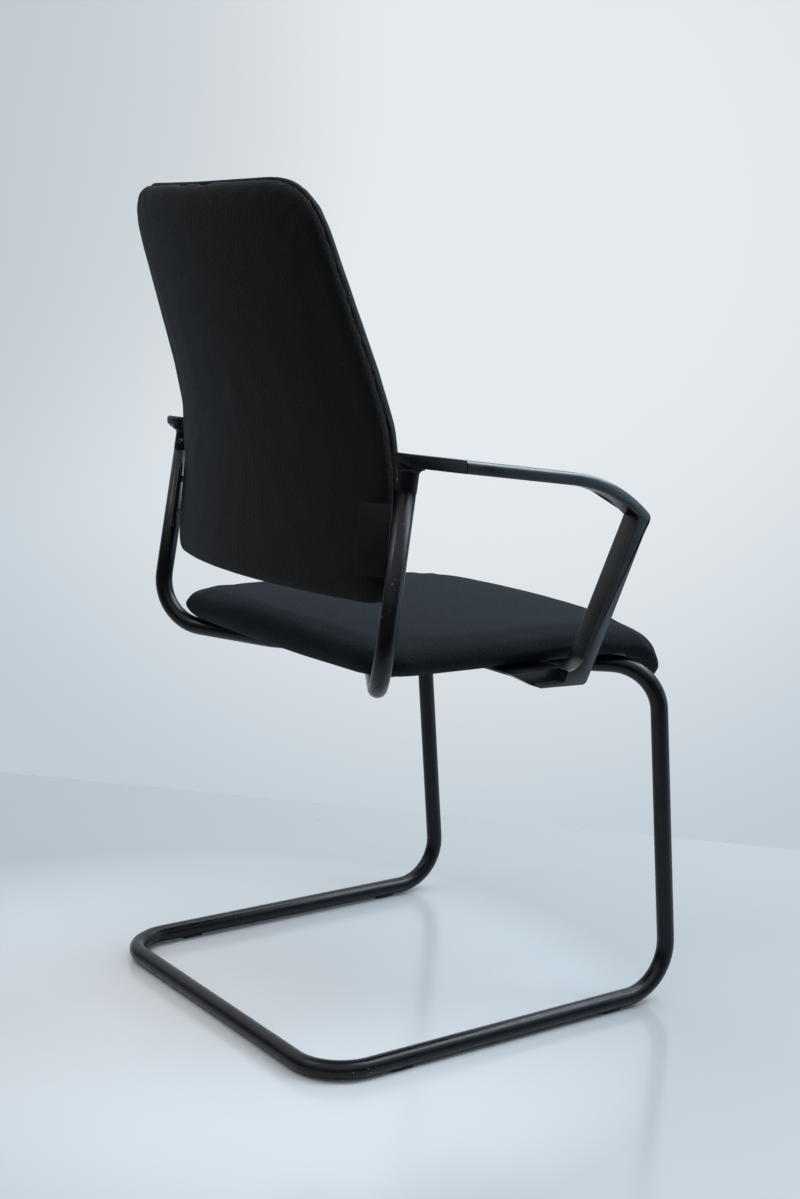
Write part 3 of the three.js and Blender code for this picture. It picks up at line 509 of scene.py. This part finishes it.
def addSoftbox(name, place, target, size, power, colour):
    lamp = bpy.data.lights.new(name, "AREA")
    lamp.shape = "RECTANGLE"
    lamp.size, lamp.size_y = size
    lamp.energy = power
    lamp.color = colour
    lamp.use_shadow = True
    holder = bpy.data.objects.new(name, lamp)
    way = Vector(target) - Vector(place)
    holder.matrix_world = Matrix.Translation(place) @ way.to_track_quat("-Z", "Y").to_matrix().to_4x4()
    scene.collection.objects.link(holder)


makeFloor()
makeWorld()
for name, settings in softboxes.items():
    addSoftbox(name, **settings)
scene.view_settings.view_transform = "Standard"
scene.view_settings.look = "None"
scene.view_settings.exposure = 0.0
print("studio made")

# Frame: one bent tube, from the top of one upright round to the other
route = {
    "uprightTop": (0.250, 0.0882, 0.6590),
    "rearBend": (0.255, 0.0555, 0.4393),
    "railRear": (0.096, 0.157, 0.4278),
    "railFront": (0.096, 0.323, 0.4278),
    "frontBend": (0.2455, 0.473, 0.4298),
    "floorFront": (0.247, 0.515, 0.011),
    "floorRear": (0.247, 0.0, 0.011),
}


def chairPoint(half, setBack, height):
    return Vector((-half, crossbarY - setBack, height + tube["lift"]))


def bentPath(corners, radius, steps):
    bm = bmesh.new()
    first = bm.verts.new(corners[0])
    for before, corner, after in zip(corners, corners[1:], corners[2:]):
        wayIn = (corner - before).normalized()
        wayOut = (after - corner).normalized()
        turn = wayIn.angle(wayOut)
        axis = wayIn.cross(wayOut).normalized()
        start = corner - wayIn * radius * math.tan(turn / 2)
        centre = start + axis.cross(wayIn) * radius
        bendStart = bm.verts.new(start)
        bm.edges.new((first, bendStart))
        spun = bmesh.ops.spin(bm, geom=[bendStart], cent=centre, axis=axis, angle=turn, steps=steps)
        first = next(part for part in spun["geom_last"] if isinstance(part, bmesh.types.BMVert))
    last = bm.verts.new(corners[-1])
    bm.edges.new((first, last))
    return bm


def makeFrameTube():
    right = [chairPoint(*spot) for spot in route.values()]
    left = [Vector((-spot.x, spot.y, spot.z)) for spot in reversed(right)]
    bm = bentPath(right + left, tube["bend"], tube["steps"])
    mesh = bpy.data.meshes.new("framePath")
    bm.to_mesh(mesh)
    bm.free()
    points = [vert.co.copy() for vert in mesh.vertices]
    bpy.data.meshes.remove(mesh)
    path = bpy.data.curves.new("frameTube", "CURVE")
    path.dimensions = "3D"
    path.twist_mode = "MINIMUM"
    path.bevel_depth = tube["radius"]
    path.bevel_resolution = tube["sides"]
    path.use_fill_caps = False
    spline = path.splines.new("POLY")
    spline.points.add(len(points) - 1)
    for spot, point in zip(spline.points, points):
        spot.co = (*point, 1)
    sweep = bpy.data.objects.new("frameSweep", path)
    scene.collection.objects.link(sweep)
    scene.view_layers[0].update()
    graph = bpy.context.evaluated_depsgraph_get()
    mesh = bpy.data.meshes.new_from_object(sweep.evaluated_get(graph), depsgraph=graph)
    bpy.data.objects.remove(sweep)
    smoothen(mesh, 180)
    hides = ("frame_tube_right", "frame_tube_left")
    piece = makePiece("frameTube", mesh, tubeCoat, hides)
    wall = piece.modifiers.new("wall", "SOLIDIFY")
    wall.thickness = tube["wall"]
    wall.offset = -1
    settle(piece)


makeFrameTube()
print("frame bent")

# Arm loops: one outline each, thickened across the chair, with a hand-friendly round
arm = {
    "inner": 0.242, "width": 0.028, "thickness": 0.0145, "leg": 0.0178,
    "joint": 0.154, "bend": 0.315, "bendHeight": 0.6726, "fall": 7.1, "bendRadius": 0.200,
    "front": 0.428, "footFront": 0.3375, "footBottom": 0.4253, "footRise": 0.0026,
    "flangeEnd": 0.271, "topEnd": 0.236, "footTop": 0.4450, "fillet": 0.014, "toe": 0.005, "tip": 0.0025,
    "web": 0.012, "flange": 0.0036, "round": 0.0058, "legRound": 0.0016, "edge": 0.0007, "steps": 14,
    "tabReach": 0.056, "tabThick": 0.005, "tabFront": 0.322, "tabRear": 0.248, "tabRound": 0.001,
    "screwHead": 0.003, "gap": 0.0003, "tongue": 0.022, "tongueThick": 0.0065, "tongueWide": 0.015,
    "cutOver": 0.002, "pocketOver": 0.01, "slack": 0.001, "jointSlack": 0.0005, "levelSlack": 0.0001,
}
armFall = math.radians(arm["fall"])
armDrop = arm["thickness"] / math.cos(armFall)


def sideSpot(forward, height, x=None):
    return Vector((-arm["inner"] if x is None else x, crossbarY - forward, height + tube["lift"]))


def topAt(setBack):
    return arm["bendHeight"] + (arm["bend"] - setBack) * math.tan(armFall)


# The arm's side view: the bend's centre, the tip, the toe, the leg's way and the corner inside the bend
def armForm():
    bendTop = Vector((arm["bend"], arm["bendHeight"]))
    centre = bendTop - Vector((math.sin(armFall), math.cos(armFall))) * arm["bendRadius"]
    tipHeight = centre.y + math.sqrt(arm["bendRadius"] ** 2 - (arm["front"] - centre.x) ** 2)
    tip = Vector((arm["front"], tipHeight))
    toe = Vector((arm["footFront"], arm["footBottom"]))
    legWay = (tip - toe).normalized()
    across = arm["leg"] / legWay.y
    inner = arm["bendRadius"] - arm["thickness"]
    start = toe - Vector((across, 0)) - centre
    half = start.dot(legWay)
    corner = start + legWay * (math.sqrt(half ** 2 - start.length_squared + inner ** 2) - half) + centre
    return centre, tip, toe, legWay, across, corner


def armSpin(bm, radius, centre, fromWay, toWay):
    forward = centre.x + radius * math.sin(fromWay)
    height = centre.y + radius * math.cos(fromWay)
    start = bm.verts.new(sideSpot(forward, height))
    spun = bmesh.ops.spin(
        bm, geom=[start], cent=sideSpot(centre.x, centre.y), axis=(1, 0, 0), angle=toWay - fromWay,
        steps=arm["steps"])
    last = next(part for part in spun["geom_last"] if isinstance(part, bmesh.types.BMVert))
    return start, last


def vertsOf(parts):
    return [part for part in parts if isinstance(part, bmesh.types.BMVert)]


def plate(name, spots, inner, width):
    bm = bmesh.new()
    face = bm.faces.new([bm.verts.new(sideSpot(forward, height, -inner)) for forward, height in spots])
    raised = bmesh.ops.extrude_face_region(bm, geom=[face])["geom"]
    bmesh.ops.translate(bm, vec=(-width, 0, 0), verts=vertsOf(raised))
    return meshFrom(bm, name)


# Cuts a mesh out of a piece, joins it to the piece, or keeps what they share
def combine(piece, mesh, operation):
    other = bpy.data.objects.new(mesh.name, mesh)
    scene.collection.objects.link(other)
    working = piece.modifiers.new(mesh.name, "BOOLEAN")
    working.operation = operation
    working.solver = "EXACT"
    working.object = other
    settle(piece)
    bpy.data.objects.remove(other)


def armSolid(centre, tip, toe, legWay, across, corner):
    tipTurn = math.atan2(tip.x - centre.x, tip.y - centre.y)
    cornerTurn = math.atan2(corner.x - centre.x, corner.y - centre.y)
    joint = arm["joint"] + arm["gap"]
    bm = bmesh.new()
    topStart = bm.verts.new(sideSpot(joint, topAt(arm["joint"])))
    lowStart = bm.verts.new(sideSpot(joint, topAt(arm["joint"]) - armDrop))
    topArc, tipVert = armSpin(bm, arm["bendRadius"], centre, armFall, tipTurn)
    lowArc, cornerVert = armSpin(bm, arm["bendRadius"] - arm["thickness"], centre, armFall, cornerTurn)
    legFootX = toe.x - across + (arm["footTop"] - toe.y) * legWay.x / legWay.y
    filletVert = bm.verts.new(sideSpot(legFootX, arm["footTop"]))
    footRear = bm.verts.new(sideSpot(arm["topEnd"], arm["footTop"]))
    flangeRear = bm.verts.new(sideSpot(arm["flangeEnd"], toe.y + arm["footRise"]))
    toeVert = bm.verts.new(sideSpot(toe.x, toe.y))
    chain = [cornerVert, filletVert, footRear, flangeRear, toeVert, tipVert]
    pairs = [(topStart, lowStart), (lowStart, lowArc), (topStart, topArc), *zip(chain, chain[1:])]
    for first, second in pairs:
        bm.edges.new((first, second))
    bmesh.ops.remove_doubles(bm, verts=bm.verts, dist=ownWeld)
    rounds = ((filletVert, arm["fillet"], 4), (toeVert, arm["toe"], 4), (tipVert, arm["tip"], 2))
    for vert, size, segments in rounds:
        bmesh.ops.bevel(
            bm, geom=[vert], affect="VERTICES", offset=size, offset_type="OFFSET", segments=segments,
            profile=0.5, material=-1)
    face = bmesh.ops.contextual_create(bm, geom=bm.edges[:])["faces"]
    raised = bmesh.ops.extrude_face_region(bm, geom=face)["geom"]
    bmesh.ops.translate(bm, vec=(-arm["width"], 0, 0), verts=vertsOf(raised))
    return bm


# Each long edge's round, as a share of the widest one: large along the pad's top, small on the leg
def weighRounds(bm, centre):
    weights = bm.edges.layers.float.new("bevel_weight_edge")
    jointLine = crossbarY - arm["joint"] - arm["gap"] - arm["jointSlack"]
    for edge in bm.edges:
        first, second = edge.verts
        level = abs(first.co.x - second.co.x) < arm["levelSlack"]
        reach = max(first.co.y, second.co.y)
        if not level or reach >= jointLine + arm["jointSlack"] + arm["levelSlack"]:
            continue
        middle = (first.co + second.co) / 2
        spot = Vector((crossbarY - middle.y, middle.z - tube["lift"]))
        if spot.x < arm["bend"]:
            onTop = spot.y > topAt(spot.x) - arm["slack"]
        else:
            onTop = (spot - centre).length > arm["bendRadius"] - arm["slack"]
        atJoint = min(first.co.y, second.co.y) > jointLine
        size = arm["edge"] if atJoint else arm["round"] if onTop else arm["legRound"]
        edge[weights] = size / arm["round"]


def pocketMesh(toe, legWay, across):
    low = toe.y + arm["footRise"] + arm["flange"]
    front = toe.x - across - arm["fillet"]
    rear = arm["topEnd"] - arm["pocketOver"]
    top, bottom = arm["footTop"] + arm["cutOver"], toe.y - arm["cutOver"]
    return plate("pocket", [
        (front, low), (front + legWay.x * arm["fillet"], low + legWay.y * arm["fillet"]), (front, top),
        (rear, top), (rear, bottom), (arm["flangeEnd"], bottom), (arm["flangeEnd"], low),
    ], arm["inner"] + arm["web"], arm["width"])


def slotMesh():
    middle = topAt(arm["joint"]) - armDrop / 2
    reach, half = arm["tongue"] + arm["gap"], arm["tongueThick"] / 2 + arm["gap"]
    start, end = arm["joint"] - arm["cutOver"], arm["joint"] + reach
    deep = middle - reach * math.tan(armFall)
    sideGap = (arm["width"] - arm["tongueWide"]) / 2 - arm["gap"]
    return plate("slot", [
        (start, middle + half), (start, middle - half), (end, deep - half), (end, deep + half),
    ], arm["inner"] + sideGap, arm["width"] - 2 * sideGap)


def makeArmLoop(side):
    centre, tip, toe, legWay, across, corner = armForm()
    bm = armSolid(centre, tip, toe, legWay, across, corner)
    weighRounds(bm, centre)
    mesh = meshFrom(bm, f"armLoop{side}")
    piece = makePiece(f"armLoop{side}", mesh, armPlastic, (f"arm_loop_{side.lower()}",))
    rounding = piece.modifiers.new("handRound", "BEVEL")
    rounding.width = arm["round"]
    rounding.segments = 5
    rounding.limit_method = "WEIGHT"
    rounding.use_clamp_overlap = False
    for cut in (pocketMesh(toe, legWay, across), slotMesh()):
        combine(piece, cut, "DIFFERENCE")
    addTab(piece)
    if side == "Left":
        flip(piece.data)
    smoothen(piece.data, 35)


def addTab(piece):
    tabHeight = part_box("arm_foot_screw_front_right")[0].z + arm["screwHead"] + arm["gap"] + arm["tabThick"]
    bm = bmesh.new()
    bm.from_mesh(piece.data)
    span = Vector((arm["tabReach"] + arm["web"] / 2, arm["tabFront"] - arm["tabRear"], arm["tabThick"]))
    centre = Vector((
        -arm["inner"] + arm["tabReach"] / 2 - arm["web"] / 4,
        crossbarY - (arm["tabFront"] + arm["tabRear"]) / 2, tabHeight - span.z / 2))
    placed = Matrix.Translation(centre) @ Matrix.Diagonal((*span, 1))
    made = bmesh.ops.create_cube(bm, size=1.0, matrix=placed)
    edges = {edge for vert in made["verts"] for edge in vert.link_edges}
    bmesh.ops.bevel(
        bm, geom=list(edges), affect="EDGES", offset=arm["tabRound"], segments=2, profile=0.5, material=-1)
    bm.to_mesh(piece.data)
    bm.free()


def flip(mesh):
    mesh.transform(Matrix.Diagonal((-1, 1, 1, 1)))
    mesh.flip_normals()


for side in ("Right", "Left"):
    makeArmLoop(side)

# Connectors: a flat block behind each arm, a sleeve on the upright and the screw that clamps it
connector = {
    "rear": 0.0765, "sleeve": 0.0113, "low": 0.6590, "axisTop": 0.6880, "sides": 40, "fillet": 0.0055,
    "flareSteps": 6, "underShare": 0.7, "rearRound": 0.010, "edge": 0.0007, "cornerCut": 0.0026,
    "leastEdge": 0.008, "leastRise": 0.005, "slack": 0.0005,
}
screw = {
    "height": 0.6715, "radius": 0.0032, "rise": 0.0011, "sunk": 0.001, "way": (0.574, 0.818, 0.0),
    "round": 0.0005, "sides": 24, "socket": 0.45, "socketDepth": 0.0012,
}


def uprightSpot(height):
    top, bend = Vector(route["uprightTop"]), Vector(route["rearBend"])
    return chairPoint(*(top + (top - bend) * ((height - top.z) / (top.z - bend.z))))


# The sleeve is spun round the upright's axis and flares in a fillet towards the block
def sleeveMesh():
    low, high = uprightSpot(connector["low"]), uprightSpot(connector["axisTop"])
    axis = (high - low).normalized()
    out = axis.cross(Vector((1, 0, 0))).normalized()
    setBack = arm["joint"] - (arm["joint"] - connector["rear"]) * connector["underShare"]
    under = topAt(setBack) - armDrop + tube["lift"] - low.z
    radius, edge, fillet = connector["sleeve"], connector["edge"], connector["fillet"]
    outline = [(0, 0), (radius - edge, 0), (radius, edge)]
    for step in range(connector["flareSteps"] + 1):
        turn = math.pi / 2 * step / connector["flareSteps"]
        outline.append((radius + fillet * (1 - math.cos(turn)), under - fillet * (1 - math.sin(turn))))
    outline += [(radius + fillet, under + fillet), (0, under + fillet)]
    bm = bmesh.new()
    verts = [bm.verts.new(low + out * reach + axis * rise) for reach, rise in outline]
    edges = [bm.edges.new(pair) for pair in zip(verts, verts[1:])]
    bmesh.ops.spin(
        bm, geom=verts + edges, cent=low, axis=axis, angle=2 * math.pi, steps=connector["sides"],
        use_merge=True)
    bmesh.ops.remove_doubles(bm, verts=bm.verts, dist=ownWeld)
    return meshFrom(bm, "sleeve")


def isRearEdge(edge):
    first, second = (vert.co for vert in edge.verts)
    atRear = min(first.y, second.y) > crossbarY - connector["rear"] - connector["slack"]
    upright = abs(first.z - second.z) > connector["leastRise"]
    return atRear and upright and edge.calc_length() > connector["leastEdge"]


def makeConnector(side):
    rear, joint, cut = connector["rear"], arm["joint"] - arm["gap"], connector["cornerCut"]
    wide = plate("wide", [
        (rear, topAt(rear) + cut), (joint, topAt(joint) + cut), (joint, connector["low"] - cut),
        (rear, connector["low"] - cut)], arm["inner"], arm["width"])
    sleeve = bpy.data.objects.new("sleeve", sleeveMesh())
    scene.collection.objects.link(sleeve)
    combine(sleeve, wide, "INTERSECT")
    under = topAt(rear) - armDrop
    mesh = plate(f"armConnector{side}", [
        (rear + cut, topAt(rear + cut)), (joint, topAt(joint)), (joint, topAt(joint) - armDrop),
        (rear + 2 * cut, under), (rear, under + 2 * cut), (rear, topAt(rear) - cut),
    ], arm["inner"], arm["width"])
    bm = bmesh.new()
    bm.from_mesh(mesh)
    rearEdges = [edge for edge in bm.edges if isRearEdge(edge)]
    bmesh.ops.bevel(
        bm, geom=rearEdges, affect="EDGES", offset=connector["rearRound"], offset_type="OFFSET", segments=5,
        profile=0.5, material=-1)
    bm.to_mesh(mesh)
    bm.free()
    hides = (f"arm_connector_{side.lower()}",)
    piece = makePiece(f"armConnector{side}", mesh, connectorPlastic, hides)
    combine(piece, sleeve.data, "UNION")
    bpy.data.objects.remove(sleeve)
    softEdges(piece, connector["edge"], 40)
    settle(piece)
    if side == "Left":
        flip(piece.data)
    smoothen(piece.data, 35)


# The clamping screw's head on the sleeve, with its socket
def makeClampScrew(side):
    way = Vector(screw["way"]).normalized()
    place = uprightSpot(screw["height"]) + way * (connector["sleeve"] - screw["sunk"])
    turn = Matrix.Translation(place) @ way.to_track_quat("Z", "Y").to_matrix().to_4x4()
    bm = bmesh.new()
    disc = bmesh.ops.create_circle(
        bm, cap_ends=True, segments=screw["sides"], radius=screw["radius"], matrix=turn)
    face = disc["verts"][0].link_faces[0]
    top = bmesh.ops.extrude_face_region(bm, geom=[face])["geom"]
    bmesh.ops.translate(bm, vec=(screw["rise"] + screw["sunk"]) * way, verts=vertsOf(top))
    cap = next(part for part in top if isinstance(part, bmesh.types.BMFace))
    bmesh.ops.bevel(
        bm, geom=list(cap.edges), affect="EDGES", offset=screw["round"], offset_type="OFFSET", segments=3,
        profile=0.5, material=-1)
    cap = max(bm.faces, key=lambda part: part.calc_center_median().dot(way) + part.calc_area())
    bmesh.ops.inset_individual(bm, faces=[cap], thickness=screw["radius"] * screw["socket"], depth=0)
    sunk = bmesh.ops.extrude_face_region(bm, geom=[cap])["geom"]
    bmesh.ops.translate(bm, vec=-screw["socketDepth"] * way, verts=vertsOf(sunk))
    if cap.is_valid:
        bmesh.ops.delete(bm, geom=[cap], context="FACES_ONLY")
    mesh = meshFrom(bm, f"clampScrew{side}")
    if side == "Left":
        flip(mesh)
    makePiece(f"clampScrew{side}", mesh, screwSteel)


for side in ("Right", "Left"):
    makeConnector(side)
    makeClampScrew(side)
print("arms made")

# Plates, glides and screws, each with the width of its edges' round
edgeRound = {
    "ear": 0.0006, "bearer": 0.0006, "glide": 0.0007, "screw": 0.0003, "stud": 0.0004, "shell": 0.0008,
}
for side in ("Right", "Left"):
    hand = side.lower()
    dressNode(f"backEar{side}", f"back_ear_{hand}", plateCoat, edgeRound["ear"])
    for place in ("Rear", "Front"):
        end = f"{place.lower()}_{hand}"
        dressNode(f"glide{place}{side}", f"glide_{end}", glidePlastic, edgeRound["glide"])
        for kind, node in (("seatScrew", "seat_screw"), ("armFootScrew", "arm_foot_screw")):
            dressNode(f"{kind}{place}{side}", f"{node}_{end}", screwSteel, edgeRound["screw"])
    for place in ("Lower", "Upper"):
        stud = f"back_stud_{place.lower()}_{hand}"
        dressNode(f"backStud{place}{side}", stud, screwSteel, edgeRound["stud"])
for place in ("Rear", "Front"):
    bearer = f"seat_bearer_{place.lower()}"
    dressNode(f"seatBearer{place}", bearer, plateCoat, edgeRound["bearer"])
dressNode("seatShell", "seat_shell", shellPly, edgeRound["shell"], angle=40)
for name, material in (("frame_joint_plug", screwSteel), ("back_board", shellPly)):
    nodes[name].data.materials.clear()
    nodes[name].data.materials.append(material)
print("plates and screws made")

# Cushions: each solid is remeshed, let in a little, blown up by pressure, held within a cap and relaxed.
# What faces the seat's shell or the back's middle is held still, from heldWay of the normal on
padSteps = 14
seat = {
    "voxel": 0.005, "inset": 0.0010, "cap": 0.003, "pressure": 4.0, "fill": 0.7, "rounds": 3, "heldWay": 0.25,
    "droop": 0.006, "droopFrom": 0.13, "droopFull": 0.28, "droopIn": 0.14, "droopOut": 0.235,
    "hang": 0.008, "hangFrom": 0.02, "hangFull": 0.07, "nose": 0.003, "noseFrom": 0.235, "noseFull": 0.285,
}
back = {
    "voxel": 0.004, "inset": 0.0006, "cap": 0.0014, "pressure": 3.0, "fill": 0.7, "rounds": 3, "heldWay": 0.35,
    "panelWider": 0.018, "cushionWider": 0.026, "widerFrom": 0.80, "widerFull": 0.66,
}
seam = {"creaseAngle": 50, "free": 0.55, "held": 0.15}


def easeStep(value, start, end):
    share = min(1.0, max(0.0, (value - start) / (end - start)))
    return share * share * (3 - 2 * share)


def startPad(name, nodeName, settings, material):
    mesh = bpy.data.meshes.new(name)
    bm = nodeCopy(nodeName, 0)
    bm.to_mesh(mesh)
    bm.free()
    piece = makePiece(name, mesh, material, (nodeName,))
    remesh = piece.modifiers.new("evenMesh", "REMESH")
    remesh.mode = "VOXEL"
    remesh.voxel_size = settings["voxel"]
    settle(piece)
    return piece


def relax(piece, rounds, factor=0.5):
    bm = bmesh.new()
    bm.from_mesh(piece.data)
    for _ in range(rounds):
        bmesh.ops.smooth_vert(
            bm, verts=bm.verts, factor=factor, use_axis_x=True, use_axis_y=True, use_axis_z=True)
    bm.to_mesh(piece.data)
    bm.free()


def inflate(piece, settings, isHeld):
    mesh = piece.data
    ways = [vert.normal.copy() for vert in mesh.vertices]
    rest = [vert.co - way * settings["inset"] for vert, way in zip(mesh.vertices, ways)]
    held = [vert.index for vert, way in zip(mesh.vertices, ways) if isHeld(way)]
    for vert, spot in zip(mesh.vertices, rest):
        vert.co = spot
    group = piece.vertex_groups.new(name="held")
    group.add(held, 1.0, "REPLACE")
    cloth = piece.modifiers.new("cloth", "CLOTH")
    cloth.settings.use_pressure = True
    cloth.settings.uniform_pressure_force = settings["pressure"]
    cloth.settings.effector_weights.gravity = 0
    cloth.settings.vertex_group_mass = "held"
    cloth.settings.quality = 5
    for frameNumber in range(1, padSteps + 1):
        scene.frame_set(frameNumber)
    mesh = settle(piece)
    piece.vertex_groups.clear()
    scene.frame_set(1)
    for vert, spot in zip(mesh.vertices, rest):
        move = vert.co - spot
        if move.length > settings["cap"]:
            vert.co = spot + move * (settings["cap"] / move.length)


# Draws a pad's seam edges back onto the solid's own faces, so that they stay crisp
def holdSeam(piece, nodeName, facing):
    bm = nodeCopy(nodeName, 0)
    creases = bm.edges.layers.float.new("crease_edge")
    for edge in bm.edges:
        edge[creases] = 1.0 if edge.calc_face_angle(0) > math.radians(seam["creaseAngle"]) else 0.0
    mesh = bpy.data.meshes.new("seamGuide")
    bm.to_mesh(mesh)
    bm.free()
    guide = bpy.data.objects.new("seamGuide", mesh)
    scene.collection.objects.link(guide)
    smooth = guide.modifiers.new("smooth", "SUBSURF")
    smooth.levels = smooth.render_levels = 2
    mesh = settle(guide)
    spots = [vert.co for vert in mesh.vertices]
    tree = BVHTree.FromPolygons(spots, [part.vertices for part in mesh.polygons])
    bpy.data.objects.remove(guide)
    for vert in piece.data.vertices:
        spot, normal = tree.find_nearest(vert.co)[:2]
        vert.co = vert.co.lerp(spot, easeStep(normal.y * facing, seam["free"], seam["held"]))


def finishPad(piece, settings):
    relax(piece, settings["rounds"])
    smooth = piece.modifiers.new("smooth", "SUBSURF")
    smooth.levels = smooth.render_levels = 1
    settle(piece)
    smoothen(piece.data, 180)


seatCushion = startPad("seatCushion", "seat_cushion", seat, seatCloth)
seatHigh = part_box("seat_cushion")[1]
for vert in seatCushion.data.vertices:
    across = easeStep(abs(vert.co.x), seat["droopIn"], seat["droopOut"])
    vert.co.z -= seat["droop"] * across * easeStep(-vert.co.y, seat["droopFrom"], seat["droopFull"])
    nose = easeStep(-vert.co.y, seat["noseFrom"], seat["noseFull"])
    under = easeStep(seatHigh.z - vert.co.z, seat["hangFrom"], seat["hangFull"])
    vert.co += Vector((0, -seat["nose"], -seat["hang"] * under)) * nose
inflate(seatCushion, seat, lambda way: way.z < -seat["heldWay"])
finishPad(seatCushion, seat)

backPanel = startPad("backPanel", "back_panel", back, backCloth)
inflate(backPanel, back, lambda way: way.y < back["heldWay"])
finishPad(backPanel, back)
holdSeam(backPanel, "back_panel", 1)
backCushion = startPad("backCushion", "back_cushion", back, backCloth)
inflate(backCushion, back, lambda way: way.y > -back["heldWay"])
finishPad(backCushion, back)
holdSeam(backCushion, "back_cushion", -1)
for piece, wider in ((backPanel, back["panelWider"]), (backCushion, back["cushionWider"])):
    for vert in piece.data.vertices:
        vert.co.x *= 1 + wider * easeStep(vert.co.z, back["widerFrom"], back["widerFull"])
print("cushions stuffed")
